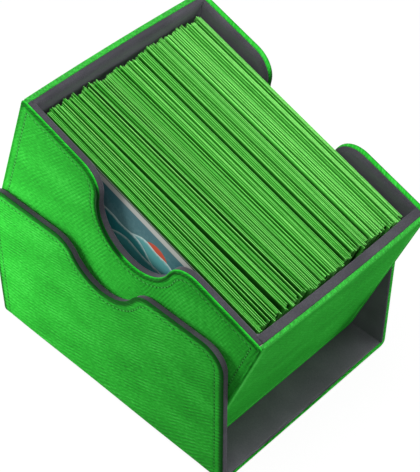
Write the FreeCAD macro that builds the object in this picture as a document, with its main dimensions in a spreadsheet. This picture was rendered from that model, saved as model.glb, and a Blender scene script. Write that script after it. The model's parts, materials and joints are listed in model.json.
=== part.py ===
import FreeCAD, Part
import math
import os
import Sketcher

# Card box with a lift-out card tray. The green cover is turned over and used as a stand: a floor,
# two wave-edged side panels and one low end wall. The tray leans in it, its right foot on the
# floor and its underside on the low end wall, and holds a row of sleeved cards.
#
# Frame: millimetres, origin in the middle of the cover's underside, +X towards the cover's open
# end, +Y from the front panel to the back panel, +Z up. The tray and the cards are drawn in the
# tray's own frame (origin in the middle of its underside) and leaned by their Placement.

SIZES = {
    # tray, outside
    "tray_length": "102.2",
    "tray_width": "75.6",
    "tray_height": "74.4",
    "tray_notch_depth": "21.9",
    # tray, layers of the front, back and base
    "tray_skin": "0.8",
    "tray_board": "1.7",
    "tray_lining": "0.6",
    # tray, layers of the two end walls
    "end_skin": "0.6",
    "end_board": "1.0",
    "end_lining": "1.7",
    # cover
    "cover_height": "62.5",
    "cover_skin": "0.6",
    "cover_board": "1.3",
    "cover_lining": "0.6",
    "cover_corner_radius": "8.5",
    "cover_notch_depth": "11.7",
    "end_wall_round": "0.5",
    # the wave edge that both share
    "notch_radius": "15.2",
    "shoulder_radius": "9.5",
    # how the tray stands in the cover
    "tray_tilt": "19.39",
    "tray_setback": "12.84",
    "side_gap": "0.3",
    "end_gap": "0.3",
    "seat_gap": "0.2",
    # closing magnets
    "magnet_radius": "4.0",
    "magnet_inset": "13.1",
    "magnet_rise": "18.0",
    "magnet_gap": "0.1",
    # sleeved cards, by the room they leave in the tray: sleeves of 91 x 66 mm
    "card_count": "100",
    "card_end_room": "1.7",
    "card_drop": "5.1",
    "card_front_gap": "2.3",
    "card_back_gap": "1.2",
    "card_air": "0.1",
    "card_shuffle": "0.8",
    "sleeve_edge": "0.2",
    "sleeve_seam": "1.6",
    # making
    "fit_gap": "0.05",
    "cut_overrun": "5.0",
}

# Steps of the two waves, in radians a card, that leave the card ends uneven, and their shares
SHUFFLE_STEPS = (2.4, 0.55)
SHUFFLE_SHARES = (0.6, 0.4)

doc = FreeCAD.newDocument("card_box")
sheet = doc.addObject("Spreadsheet::Sheet", "Sizes")
for row, (name, text) in enumerate(SIZES.items(), start=1):
    sheet.set(f"A{row}", text)
    sheet.setAlias(f"A{row}", name)
doc.recompute()


def number(expression):
    """The present value of an expression in the sheet's sizes."""
    value = sheet.evalExpression(expression)
    return float(getattr(value, "Value", value))


# Sizes that follow from the sheet. Floors are as thick as walls, and each fold turns about the
# inner crease, so the outside of a bend has the wall's thickness as its radius.
COVER_WALL = "(Sizes.cover_skin + Sizes.cover_board + Sizes.cover_lining)"
COVER_LENGTH = f"(Sizes.tray_length + Sizes.end_gap + {COVER_WALL})"
COVER_WIDTH = f"(Sizes.tray_width + 2 * Sizes.side_gap + 2 * {COVER_WALL})"
COVER_END = f"({COVER_LENGTH} / 2)"
COVER_SIDE = f"({COVER_WIDTH} / 2)"
COVER_INSIDE = f"({COVER_SIDE} - {COVER_WALL})"
COVER_NOTCH_X = f"(({COVER_WALL} + Sizes.end_gap) / 2)"

TRAY_END = "(Sizes.tray_length / 2)"
TRAY_SIDE = "(Sizes.tray_width / 2)"
TRAY_WALL = "(Sizes.tray_skin + Sizes.tray_board + Sizes.tray_lining)"
END_WRAP = "(2 * Sizes.end_skin + Sizes.end_board)"
TRAY_PANEL_END = f"({TRAY_END} - {END_WRAP})"
TRAY_INSIDE = f"({TRAY_SIDE} - {TRAY_WALL})"

# Where the tray's right foot stands, and how high the low end wall has to be to carry the tray
FOOT_X = f"({COVER_END} - Sizes.tray_setback)"
FOOT_Z = f"({COVER_WALL} + Sizes.seat_gap)"
END_WALL_REACH = f"({FOOT_X} + {COVER_END} - {COVER_WALL} + Sizes.end_wall_round)"
END_WALL_TOP = (
    f"({FOOT_Z} + Sizes.end_wall_round + {END_WALL_REACH} * tan(Sizes.tray_tilt)"
    " - (Sizes.end_wall_round + Sizes.seat_gap) / cos(Sizes.tray_tilt))"
)

# The numbers by which a sketch knows its own axes and the spots of a line or arc
NOTHING = "0"
SKETCH_Y_AXIS, SKETCH_X_AXIS = range(-2, 0)
START, END, CENTRE = range(1, 4)


def lean(thing):
    """Stand a piece that is drawn in the tray's frame on the tray's foot, tilted."""
    turn = FreeCAD.Rotation(FreeCAD.Vector(0, 1, 0), number("Sizes.tray_tilt"))
    thing.Placement = FreeCAD.Placement(FreeCAD.Vector(), turn)
    thing.setExpression("Placement.Rotation.Angle", "Sizes.tray_tilt")
    thing.setExpression("Placement.Base.x", f"{FOOT_X} - {TRAY_END} * cos(Sizes.tray_tilt)")
    thing.setExpression("Placement.Base.z", f"{FOOT_Z} + {TRAY_END} * sin(Sizes.tray_tilt)")


def new_body(label, leaning=False):
    """An empty body with its own label, leaned with the tray if it belongs to it."""
    body = doc.addObject("PartDesign::Body", label)
    body.Label = label
    if leaning:
        lean(body)
    return body


def new_sketch(body, role, offset=NOTHING):
    """A sketch on one of the body's own planes, moved along that plane's normal."""
    sketch = body.newObject("Sketcher::SketchObject", "outline")
    plane = next(item for item in body.Origin.OriginFeatures if item.Role == role)
    sketch.AttachmentSupport = [(plane, "")]
    sketch.MapMode = "FlatFace"
    sketch.setExpression("AttachmentOffset.Base.z", offset)
    return sketch


def pad(body, sketch, thickness):
    """Thicken a sketch evenly to both sides."""
    feature = body.newObject("PartDesign::Pad", "pad")
    feature.Profile = sketch
    feature.SideType = "Symmetric"
    feature.setExpression("Length", thickness)
    doc.recompute()
    return feature


def pocket(body, sketch, depth=None):
    """Cut a sketch evenly to both sides, right through where no depth is given."""
    volume = body.Shape.Volume
    feature = body.newObject("PartDesign::Pocket", "pocket")
    feature.Profile = sketch
    feature.SideType = "Symmetric"
    if depth is None:
        feature.Type = "ThroughAll"
        feature.Type2 = "ThroughAll"
    else:
        feature.setExpression("Length", depth)
    doc.recompute()
    if body.Shape.Volume >= volume:
        raise RuntimeError(f"the pocket in {body.Label} cuts nothing")
    return feature


def pin(sketch, kind, spot, expression):
    """Give a point its x or y, or an arc its radius, from an expression."""
    if expression == NOTHING:
        axis = SKETCH_Y_AXIS if kind == "DistanceX" else SKETCH_X_AXIS
        sketch.addConstraint(Sketcher.Constraint("PointOnObject", *spot, axis))
        return
    index = sketch.addConstraint(Sketcher.Constraint(kind, *spot, number(expression)))
    sketch.setExpression(f"Constraints[{index}]", expression)


def join(sketch, first, second, kind="Coincident"):
    """Close two ends of an outline, with a corner or with no corner (Tangent)."""
    sketch.addConstraint(Sketcher.Constraint(kind, *first, *second))


def add_line(sketch, start, end):
    """A straight stretch between two points given as numbers."""
    return sketch.addGeometry(Part.LineSegment(FreeCAD.Vector(*start, 0), FreeCAD.Vector(*end, 0)))


def add_arc(sketch, centre, radius, start, end):
    """A round stretch that runs anticlockwise between two angles in radians."""
    circle = Part.Circle(FreeCAD.Vector(*centre, 0), FreeCAD.Vector(0, 0, 1), radius)
    return sketch.addGeometry(Part.ArcOfCircle(circle, start, end))


def polygon(sketch, corners):
    """A closed outline of straight stretches, each corner tied to its two expressions."""
    places = [(number(x), number(y)) for x, y in corners]
    lines = []
    for start, end in zip(places, places[1:] + places[:1]):
        lines.append(add_line(sketch, start, end))
    for line, follower, (x, y) in zip(lines, lines[1:] + lines[:1], corners):
        join(sketch, (line, END), (follower, START))
        pin(sketch, "DistanceX", (line, START), x)
        pin(sketch, "DistanceY", (line, START), y)


def rectangle(sketch, left, right, bottom, top):
    """A closed rectangle between four expressions."""
    polygon(sketch, [(left, bottom), (right, bottom), (right, top), (left, top)])


def add_circle(sketch, x, y, radius):
    """A circle tied to three expressions."""
    centre = FreeCAD.Vector(number(x), number(y), 0)
    ring = sketch.addGeometry(Part.Circle(centre, FreeCAD.Vector(0, 0, 1), number(radius)))
    pin(sketch, "DistanceX", (ring, CENTRE), x)
    pin(sketch, "DistanceY", (ring, CENTRE), y)
    pin(sketch, "Radius", (ring,), radius)


def trough(sketch, side, bottom, top, radius):
    """Down one side, round a bend, across the floor, round a bend and up: an open outline."""
    half, low, high, bend = (number(text) for text in (side, bottom, top, radius))
    quarter = math.pi / 2
    left = add_line(sketch, (-half, high), (-half, low + bend))
    left_bend = add_arc(sketch, (bend - half, low + bend), bend, -2 * quarter, -quarter)
    floor = add_line(sketch, (bend - half, low), (half - bend, low))
    right_bend = add_arc(sketch, (half - bend, low + bend), bend, -quarter, 0)
    right = add_line(sketch, (half, low + bend), (half, high))
    chain = [left, left_bend, floor, right_bend, right]
    for first, second in zip(chain, chain[1:]):
        join(sketch, (first, END), (second, START), "Tangent")
    for line, spot, x in ((left, START, f"-{side}"), (right, END, side)):
        sketch.addConstraint(Sketcher.Constraint("Vertical", line))
        pin(sketch, "DistanceX", (line, spot), x)
        pin(sketch, "DistanceY", (line, spot), top)
    sketch.addConstraint(Sketcher.Constraint("Horizontal", floor))
    pin(sketch, "DistanceY", (floor, START), bottom)
    for arc in (left_bend, right_bend):
        pin(sketch, "Radius", (arc,), radius)
    return (left, START, (-half, high)), (right, END, (half, high))


def bridge(sketch, first, second):
    """Close two loose ends with a straight stretch."""
    line = add_line(sketch, first[2], second[2])
    join(sketch, first[:2], (line, START))
    join(sketch, (line, END), second[:2])


def bent_sheet(sketch, side, top, thickness, radius):
    """A sheet end on: one thickness all the way, bent up at both sides."""
    outside = trough(sketch, side, NOTHING, top, radius)
    inside = trough(
        sketch, f"({side} - {thickness})", thickness, top, f"({radius} - {thickness})"
    )
    for first, second in zip(outside, inside):
        bridge(sketch, first, second)


def round_footed(sketch, side, bottom, top, radius):
    """A wall across the box, round at its two lower corners, where it stands in the bends."""
    bridge(sketch, *trough(sketch, side, bottom, top, radius))


def round_edged(sketch, side, bottom, radius):
    """A floor end on, as thick as its radius: each edge is a quarter round that fills a bend."""
    half, low, bend = (number(text) for text in (side, bottom, radius))
    quarter = math.pi / 2
    floor = add_line(sketch, (bend - half, low), (half - bend, low))
    right_bend = add_arc(sketch, (half - bend, low + bend), bend, -quarter, 0)
    roof = add_line(sketch, (half, low + bend), (-half, low + bend))
    left_bend = add_arc(sketch, (bend - half, low + bend), bend, -2 * quarter, -quarter)
    join(sketch, (floor, END), (right_bend, START), "Tangent")
    join(sketch, (right_bend, END), (roof, START))
    join(sketch, (roof, END), (left_bend, START))
    join(sketch, (left_bend, END), (floor, START), "Tangent")
    for line, height in ((floor, bottom), (roof, f"({bottom} + {radius})")):
        sketch.addConstraint(Sketcher.Constraint("Horizontal", line))
        pin(sketch, "DistanceY", (line, START), height)
    for arc, spot, x in ((right_bend, END, side), (left_bend, START, f"-{side}")):
        pin(sketch, "Radius", (arc,), radius)
        pin(sketch, "DistanceX", (arc, spot), x)


class Wave:
    """The top edge of a panel: straight, down through a round thumb notch, and straight again.

    An inset moves the whole edge into the panel: the notch grows by it, and the convex shoulders
    and corners shrink by it, so that layers of one panel keep the same distance all along.
    """

    def __init__(self, left, right, top, notch_x, notch_depth, corner=None):
        self.left = left
        self.right = right
        self.top = top
        self.notch_x = notch_x
        self.notch_z = f"({top} - {notch_depth} + Sizes.notch_radius)"
        self.corner = corner

    def draw(self, sketch, inset, end_inset):
        """Draw the edge from left to right, and give back its two loose ends as points."""
        top = f"({self.top} - {inset})"
        notch_radius = f"(Sizes.notch_radius + {inset})"
        shoulder_radius = f"(Sizes.shoulder_radius - {inset})"
        left = f"({self.left} + {end_inset})"
        right = f"({self.right} - {end_inset})"
        high, notch, shoulder = number(top), number(notch_radius), number(shoulder_radius)
        middle, centre = number(self.notch_x), number(self.notch_z)
        drop = centre - (high - shoulder)
        reach = math.sqrt((notch + shoulder) ** 2 - drop**2)
        dip = math.atan2(drop, reach)
        quarter = math.pi / 2
        corner = f"({self.corner} - {inset})" if self.corner else NOTHING
        fillet = number(corner)
        start = (number(left) + fillet, high)
        end = (number(right) - fillet, high)
        left_top = add_line(sketch, start, (middle - reach, high))
        left_shoulder = add_arc(sketch, (middle - reach, high - shoulder), shoulder, dip, quarter)
        notch_arc = add_arc(sketch, (middle, centre), notch, 2 * quarter + dip, 4 * quarter - dip)
        right_shoulder = add_arc(
            sketch, (middle + reach, high - shoulder), shoulder, quarter, 2 * quarter - dip
        )
        right_top = add_line(sketch, (middle + reach, high), end)
        join(sketch, (left_top, END), (left_shoulder, END), "Tangent")
        join(sketch, (left_shoulder, START), (notch_arc, START), "Tangent")
        join(sketch, (notch_arc, END), (right_shoulder, END), "Tangent")
        join(sketch, (right_shoulder, START), (right_top, START), "Tangent")
        for line in (left_top, right_top):
            sketch.addConstraint(Sketcher.Constraint("Horizontal", line))
            pin(sketch, "DistanceY", (line, START), top)
        for arc in (left_shoulder, right_shoulder):
            pin(sketch, "Radius", (arc,), shoulder_radius)
        pin(sketch, "Radius", (notch_arc,), notch_radius)
        pin(sketch, "DistanceX", (notch_arc, CENTRE), self.notch_x)
        pin(sketch, "DistanceY", (notch_arc, CENTRE), self.notch_z)
        if not self.corner:
            pin(sketch, "DistanceX", (left_top, START), left)
            pin(sketch, "DistanceX", (right_top, END), right)
            return (left_top, START, start), (right_top, END, end)
        low = high - fillet
        left_corner = add_arc(sketch, (start[0], low), fillet, quarter, 2 * quarter)
        right_corner = add_arc(sketch, (end[0], low), fillet, 0, quarter)
        join(sketch, (left_top, START), (left_corner, START), "Tangent")
        join(sketch, (right_top, END), (right_corner, END), "Tangent")
        for arc, spot, side in ((left_corner, END, left), (right_corner, START, right)):
            pin(sketch, "Radius", (arc,), corner)
            pin(sketch, "DistanceX", (arc, spot), side)
            pin(sketch, "DistanceY", (arc, spot), f"{top} - {corner}")
        return (left_corner, END, (number(left), low)), (right_corner, START, (number(right), low))

    def panel(self, sketch, bottom, inset=NOTHING, end_inset=NOTHING):
        """Close the edge downwards into a panel that ends at bottom."""
        left, right = self.draw(sketch, inset, end_inset)
        floor = number(bottom)
        left_foot = (left[2][0], floor)
        right_foot = (right[2][0], floor)
        right_side = add_line(sketch, right[2], right_foot)
        base = add_line(sketch, right_foot, left_foot)
        left_side = add_line(sketch, left_foot, left[2])
        join(sketch, right[:2], (right_side, START))
        join(sketch, (right_side, END), (base, START))
        join(sketch, (base, END), (left_side, START))
        join(sketch, (left_side, END), left[:2])
        for line in (right_side, left_side):
            sketch.addConstraint(Sketcher.Constraint("Vertical", line))
        sketch.addConstraint(Sketcher.Constraint("Horizontal", base))
        pin(sketch, "DistanceY", (base, START), bottom)

    def cut(self, sketch):
        """Close the edge upwards and outwards into the waste that is cut off above it."""
        left, right = self.draw(sketch, NOTHING, NOTHING)
        roof = f"({self.top} + 2 * Sizes.cut_overrun)"
        high = number(roof)
        over = number("Sizes.cut_overrun")
        left_far = left[2][0] - over
        right_far = right[2][0] + over
        left_ledge = add_line(sketch, left[2], (left_far, left[2][1]))
        left_side = add_line(sketch, (left_far, left[2][1]), (left_far, high))
        top_side = add_line(sketch, (left_far, high), (right_far, high))
        right_side = add_line(sketch, (right_far, high), (right_far, right[2][1]))
        right_ledge = add_line(sketch, (right_far, right[2][1]), right[2])
        join(sketch, left[:2], (left_ledge, START))
        join(sketch, (left_ledge, END), (left_side, START))
        join(sketch, (left_side, END), (top_side, START))
        join(sketch, (top_side, END), (right_side, START))
        join(sketch, (right_side, END), (right_ledge, START))
        join(sketch, (right_ledge, END), right[:2])
        for line in (left_side, right_side):
            sketch.addConstraint(Sketcher.Constraint("Vertical", line))
        for line in (left_ledge, top_side, right_ledge):
            sketch.addConstraint(Sketcher.Constraint("Horizontal", line))
        pin(sketch, "DistanceX", (left_side, END), f"{self.left} - Sizes.cut_overrun")
        pin(sketch, "DistanceX", (right_side, START), f"{self.right} + Sizes.cut_overrun")
        pin(sketch, "DistanceY", (top_side, START), roof)


COVER_WAVE = Wave(
    f"(-{COVER_END})",
    COVER_END,
    "Sizes.cover_height",
    COVER_NOTCH_X,
    "Sizes.cover_notch_depth",
    "Sizes.cover_corner_radius",
)
TRAY_WAVE = Wave(f"(-{TRAY_END})", TRAY_END, "Sizes.tray_height", NOTHING, "Sizes.tray_notch_depth")
TRAY_PANEL_WAVE = Wave(
    f"(-{TRAY_PANEL_END})",
    TRAY_PANEL_END,
    "Sizes.tray_height",
    NOTHING,
    "Sizes.tray_notch_depth",
)

# The front is on the -Y side, which a sketch on the XZ plane reaches with a positive offset
FRONT = "+"
BACK = "-"


def outer_skin(label, wave, side, length, skin, wall, leaning):
    """The covering: one sheet under the base and up both sides, trimmed to the wave at the top."""
    body = new_body(label, leaning)
    section = new_sketch(body, "YZ_Plane")
    bent_sheet(section, side, f"({wave.top} + Sizes.cut_overrun)", skin, wall)
    pad(body, section, length)
    waste = new_sketch(body, "XZ_Plane")
    wave.cut(waste)
    pocket(body, waste)
    return body


def wave_board(label, wave, facing, layers, bottom, end_inset, magnets, leaning):
    """The stiff board inside a panel, set in from the wave edge, with holes for two magnets."""
    outside, board, lining = layers
    body = new_body(label, leaning)
    outline = new_sketch(body, "XZ_Plane", f"{facing}({outside} - {board} / 2)")
    wave.panel(outline, bottom, f"({lining} + Sizes.fit_gap)", end_inset)
    for x, z in magnets:
        add_circle(outline, x, z, "(Sizes.magnet_radius + Sizes.magnet_gap)")
    pad(body, outline, board)
    return body


def wave_lining(label, wave, facing, layers, bottom, end_inset, leaning):
    """The lining: a panel that laps round the board's wave edge and leaves a bed for the board."""
    outside, board, lining = layers
    body = new_body(label, leaning)
    outline = new_sketch(body, "XZ_Plane", f"{facing}({outside} - ({board} + {lining}) / 2)")
    wave.panel(outline, bottom)
    pad(body, outline, f"({board} + {lining})")
    bed = new_sketch(body, "XZ_Plane", f"{facing}({outside} - {board} / 2)")
    wave.panel(bed, f"({bottom} - Sizes.cut_overrun)", lining, end_inset)
    pocket(body, bed, board)
    return body


def magnet_discs(label, places, middle, board, leaning):
    """Two discs in the front board, mirrored to the back board."""
    body = new_body(label, leaning)
    body.AllowCompound = True
    outline = new_sketch(body, "XZ_Plane", middle)
    for x, z in places:
        add_circle(outline, x, z, "Sizes.magnet_radius")
    discs = pad(body, outline, f"({board} - Sizes.magnet_gap)")
    mirrored = body.newObject("PartDesign::Mirrored", "mirrored")
    mirrored.Originals = [discs]
    plane = next(item for item in body.Origin.OriginFeatures if item.Role == "XZ_Plane")
    mirrored.MirrorPlane = (plane, [""])
    body.Tip = mirrored
    doc.recompute()
    return body


def slab(label, role, offset, thickness, draw, leaning):
    """A piece of one thickness on one plane: draw fills in its outline."""
    body = new_body(label, leaning)
    outline = new_sketch(body, role, offset)
    draw(outline)
    pad(body, outline, thickness)
    return body


def floor_lining(label, layers, length, bed_end, inside, leaning):
    """The floor's lining: it fills both bends, and has a bed underneath for the base board."""
    side, skin, board, lining = layers
    body = slab(
        label,
        "YZ_Plane",
        NOTHING,
        length,
        lambda sketch: round_edged(sketch, f"({side} - {skin})", skin, f"({board} + {lining})"),
        leaning,
    )
    bed = new_sketch(body, "XY_Plane", f"{skin} + {board} / 2")
    rectangle(bed, f"(-{bed_end})", bed_end, f"(-{inside})", inside)
    pocket(body, bed, board)
    return body


def base_board(label, skin, board, end, inside, leaning):
    """The stiff board in the floor lining's bed."""
    side = f"({inside} - Sizes.fit_gap)"
    return slab(
        label,
        "XY_Plane",
        f"{skin} + {board} / 2",
        board,
        lambda sketch: rectangle(sketch, f"(-{end})", end, f"(-{side})", side),
        leaning,
    )


# Cover: the U-shaped covering, and the board and lining of each panel
COVER_LAYERS = (f"({COVER_SIDE} - Sizes.cover_skin)", "Sizes.cover_board", "Sizes.cover_lining")
COVER_BED_END = f"({COVER_END} - Sizes.cover_lining)"
MAGNET_REACH = f"({TRAY_END} - Sizes.magnet_inset)"
COVER_MAGNETS = [
    (f"({COVER_NOTCH_X} {sign} {MAGNET_REACH})", "Sizes.magnet_rise") for sign in "-+"
]

parts = [
    outer_skin(
        "cover_outer_skin",
        COVER_WAVE,
        COVER_SIDE,
        COVER_LENGTH,
        "Sizes.cover_skin",
        COVER_WALL,
        leaning=False,
    ),
    floor_lining(
        "cover_floor_lining",
        (COVER_SIDE, "Sizes.cover_skin", "Sizes.cover_board", "Sizes.cover_lining"),
        COVER_LENGTH,
        COVER_BED_END,
        COVER_INSIDE,
        leaning=False,
    ),
    base_board(
        "cover_base_board",
        "Sizes.cover_skin",
        "Sizes.cover_board",
        f"({COVER_BED_END} - Sizes.fit_gap)",
        COVER_INSIDE,
        leaning=False,
    ),
    magnet_discs(
        "cover_magnets",
        COVER_MAGNETS,
        f"({COVER_SIDE} - Sizes.cover_skin - Sizes.cover_board / 2)",
        "Sizes.cover_board",
        leaning=False,
    ),
]
for side, facing in (("front", FRONT), ("back", BACK)):
    parts.append(
        wave_board(
            f"cover_{side}_board",
            COVER_WAVE,
            facing,
            COVER_LAYERS,
            COVER_WALL,
            "(Sizes.cover_lining + Sizes.fit_gap)",
            COVER_MAGNETS,
            leaning=False,
        )
    )
    parts.append(
        wave_lining(
            f"cover_{side}_lining",
            COVER_WAVE,
            facing,
            COVER_LAYERS,
            COVER_WALL,
            "Sizes.cover_lining",
            leaning=False,
        )
    )

# The low end wall stands on the floor between the side panels: covering outside, board, and a
# lining that turns over the board's top edge, where the tray's underside rests
END_WALL_OUTSIDE = f"(-{COVER_END})"
END_WALL_FACE = f"({COVER_WALL} - {COVER_END})"
END_BOARD_TOP = f"({END_WALL_TOP} - Sizes.cover_lining)"


def end_layer(label, start, thickness, top):
    """One upright layer of the low end wall, from a start along X."""
    return slab(
        label,
        "YZ_Plane",
        f"({start} + {thickness} / 2)",
        thickness,
        lambda sketch: rectangle(sketch, f"(-{COVER_INSIDE})", COVER_INSIDE, COVER_WALL, top),
        leaning=False,
    )


END_BOARD_START = f"({END_WALL_OUTSIDE} + Sizes.cover_skin)"
parts.append(end_layer("cover_end_skin", END_WALL_OUTSIDE, "Sizes.cover_skin", END_WALL_TOP))
parts.append(end_layer("cover_end_board", END_BOARD_START, "Sizes.cover_board", END_BOARD_TOP))


def turned_lining(sketch):
    """The end wall's lining from the side: up the inner face, round, and over the board."""
    lining_back = f"({END_WALL_FACE} - Sizes.cover_lining)"
    crown_x = number(f"{END_WALL_FACE} - Sizes.end_wall_round")
    crown_z = number(f"{END_WALL_TOP} - Sizes.end_wall_round")
    top = number(END_WALL_TOP)
    foot = (number(END_WALL_FACE), number(COVER_WALL))
    face = add_line(sketch, foot, (foot[0], crown_z))
    crown = add_arc(sketch, (crown_x, crown_z), number("Sizes.end_wall_round"), 0, math.pi / 2)
    place = (number(END_BOARD_START), top)
    last = add_line(sketch, (crown_x, top), place)
    join(sketch, (face, END), (crown, START), "Tangent")
    join(sketch, (crown, END), (last, START), "Tangent")
    sketch.addConstraint(Sketcher.Constraint("Vertical", face))
    sketch.addConstraint(Sketcher.Constraint("Horizontal", last))
    pin(sketch, "Radius", (crown,), "Sizes.end_wall_round")
    pin(sketch, "DistanceX", (face, START), END_WALL_FACE)
    pin(sketch, "DistanceY", (face, START), COVER_WALL)
    pin(sketch, "DistanceX", (last, END), END_BOARD_START)
    pin(sketch, "DistanceY", (last, END), END_WALL_TOP)
    corners = [
        (END_BOARD_START, END_BOARD_TOP),
        (lining_back, END_BOARD_TOP),
        (lining_back, COVER_WALL),
    ]
    for x, z in corners:
        line = add_line(sketch, place, (number(x), number(z)))
        join(sketch, (last, END), (line, START))
        pin(sketch, "DistanceX", (line, END), x)
        pin(sketch, "DistanceY", (line, END), z)
        last = line
        place = (number(x), number(z))
    bridge(sketch, (last, END, place), (face, START, foot))


parts.append(
    slab(
        "cover_end_lining",
        "XZ_Plane",
        NOTHING,
        f"2 * {COVER_INSIDE}",
        turned_lining,
        leaning=False,
    )
)

# Tray: the U-shaped covering, boards and linings, and two end walls set between the sides
TRAY_BED_SIDE = f"({TRAY_SIDE} - Sizes.tray_skin)"
TRAY_LAYERS = (TRAY_BED_SIDE, "Sizes.tray_board", "Sizes.tray_lining")
TRAY_MAGNET_Z = f"(Sizes.tray_height + {COVER_WALL} - Sizes.magnet_rise)"
TRAY_MAGNETS = [(f"({sign}{MAGNET_REACH})", TRAY_MAGNET_Z) for sign in "-+"]

parts += [
    outer_skin(
        "tray_outer_skin",
        TRAY_WAVE,
        TRAY_SIDE,
        "Sizes.tray_length",
        "Sizes.tray_skin",
        TRAY_WALL,
        leaning=True,
    ),
    floor_lining(
        "tray_floor_lining",
        (TRAY_SIDE, "Sizes.tray_skin", "Sizes.tray_board", "Sizes.tray_lining"),
        f"2 * {TRAY_PANEL_END}",
        f"({TRAY_PANEL_END} + Sizes.cut_overrun)",
        TRAY_INSIDE,
        leaning=True,
    ),
    base_board(
        "tray_base_board",
        "Sizes.tray_skin",
        "Sizes.tray_board",
        TRAY_PANEL_END,
        TRAY_INSIDE,
        leaning=True,
    ),
    magnet_discs(
        "tray_magnets",
        TRAY_MAGNETS,
        f"({TRAY_BED_SIDE} - Sizes.tray_board / 2)",
        "Sizes.tray_board",
        leaning=True,
    ),
]
for side, facing in (("front", FRONT), ("back", BACK)):
    parts.append(
        wave_board(
            f"tray_{side}_board",
            TRAY_PANEL_WAVE,
            facing,
            TRAY_LAYERS,
            TRAY_WALL,
            NOTHING,
            TRAY_MAGNETS,
            leaning=True,
        )
    )
    parts.append(
        wave_lining(
            f"tray_{side}_lining",
            TRAY_PANEL_WAVE,
            facing,
            TRAY_LAYERS,
            TRAY_WALL,
            "(-Sizes.cut_overrun)",
            leaning=True,
        )
    )

# Each end wall is a board in a folded covering that shows as a wide rim, with a thick lining inside
END_BEND = f"({TRAY_WALL} - Sizes.tray_skin)"
END_WALL_MIDDLE = f"({TRAY_END} - {END_WRAP} / 2)"
END_LINING_MIDDLE = f"({TRAY_PANEL_END} - Sizes.end_lining / 2)"
END_FOLD = "(Sizes.tray_height - Sizes.end_skin)"


def end_wall(label, offset, thickness, top):
    """A layer of an end wall across the tray, up to a given height."""
    return slab(
        label,
        "YZ_Plane",
        offset,
        thickness,
        lambda sketch: round_footed(sketch, TRAY_BED_SIDE, "Sizes.tray_skin", top, END_BEND),
        leaning=True,
    )


for side, facing in (("left", "-"), ("right", "+")):
    middle = f"{facing}{END_WALL_MIDDLE}"
    folded = end_wall(f"tray_{side}_end_skin", middle, END_WRAP, "Sizes.tray_height")
    slot = new_sketch(folded, "YZ_Plane", middle)
    slot_side = f"({TRAY_SIDE} + Sizes.cut_overrun)"
    rectangle(slot, f"(-{slot_side})", slot_side, "(-Sizes.cut_overrun)", END_FOLD)
    pocket(folded, slot, "Sizes.end_board")
    parts.append(folded)
    parts.append(end_wall(f"tray_{side}_end_board", middle, "Sizes.end_board", END_FOLD))
    parts.append(
        slab(
            f"tray_{side}_end_lining",
            "YZ_Plane",
            f"{facing}{END_LINING_MIDDLE}",
            "Sizes.end_lining",
            lambda sketch: rectangle(
                sketch, f"(-{TRAY_INSIDE})", TRAY_INSIDE, TRAY_WALL, "Sizes.tray_height"
            ),
            leaning=True,
        )
    )

# Cards: each sleeve is a flat pillow with sealed, thinner long edges, standing on its long side.
# The row fills the tray between the front and back gaps, with a little air between sleeves.
ROW_DEPTH = f"(2 * {TRAY_INSIDE} - Sizes.card_front_gap - Sizes.card_back_gap)"
CARD_PITCH = f"(({ROW_DEPTH} + Sizes.card_air) / Sizes.card_count)"
SLEEVE_THICKNESS = f"({CARD_PITCH} - Sizes.card_air)"
SLEEVE_LENGTH = f"(2 * ({TRAY_PANEL_END} - Sizes.end_lining - Sizes.card_end_room))"
SLEEVE_FOOT = f"({TRAY_WALL} + Sizes.seat_gap)"
SLEEVE_TOP = "(Sizes.tray_height - Sizes.card_drop)"
FIRST_CARD_Y = f"(Sizes.card_front_gap + {SLEEVE_THICKNESS} / 2 - {TRAY_INSIDE})"


def sleeve_section(sketch):
    """A sleeve end on: thick in the middle, tapered to its sealed lower and upper edges."""
    thin = "Sizes.sleeve_edge / 2"
    thick = f"{SLEEVE_THICKNESS} / 2"
    low = f"({SLEEVE_FOOT} + Sizes.sleeve_seam)"
    high = f"({SLEEVE_TOP} - Sizes.sleeve_seam)"
    up = [(thin, SLEEVE_FOOT), (thick, low), (thick, high), (thin, SLEEVE_TOP)]
    corners = [(f"({FIRST_CARD_Y} + {y})", z) for y, z in up]
    corners += [(f"({FIRST_CARD_Y} - {y})", z) for y, z in reversed(up)]
    polygon(sketch, corners)


front_card = slab(
    "front_card", "YZ_Plane", NOTHING, SLEEVE_LENGTH, sleeve_section, leaning=True
)
parts.append(front_card)


def shuffle(index):
    """How far a card stands out of line along the tray."""
    waves = zip(SHUFFLE_SHARES, SHUFFLE_STEPS)
    return number("Sizes.card_shuffle") * sum(part * math.sin(step * index) for part, step in waves)


pitch = number(CARD_PITCH)
stack = doc.addObject("Part::Feature", "sleeved_cards")
stack.Label = "sleeved_cards"
stack.Shape = Part.makeCompound(
    [
        front_card.Tip.Shape.translated(FreeCAD.Vector(shuffle(index), index * pitch, 0))
        for index in range(1, int(number("Sizes.card_count")))
    ]
)
lean(stack)
parts.append(stack)

# Every object is sound before anything is written
doc.recompute()
for item in doc.Objects:
    if {"Invalid", "Error"} & set(item.State):
        raise RuntimeError(f"{item.Label} failed: {item.State}")
for part in parts:
    if part.Shape.isNull() or not part.Shape.isValid():
        raise RuntimeError(f"{part.Label} has no valid shape")

os.makedirs("parts", exist_ok=True)
for part in parts:
    part.Shape.exportStep(f"parts/{part.Label}.step")
    print(part.Label, len(part.Shape.Solids), "solids", round(part.Shape.Volume, 1), "mm3")
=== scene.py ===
# %% [markdown]
# # A covered card box with a lift-out tray
#
# The box has two halves. The cover has been turned over and serves as a stand, and the tray, full of
# sleeved cards, leans in it. Both are boards covered in a green brushed fabric with fine ribs and lined
# in charcoal microfibre, sewn round the edges. The CAD model gives every size and place. This script
# dresses it: soft rolled edges, sewn seams, a fabric that has a nap, and a hundred sleeves that lean on
# each other.

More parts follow.
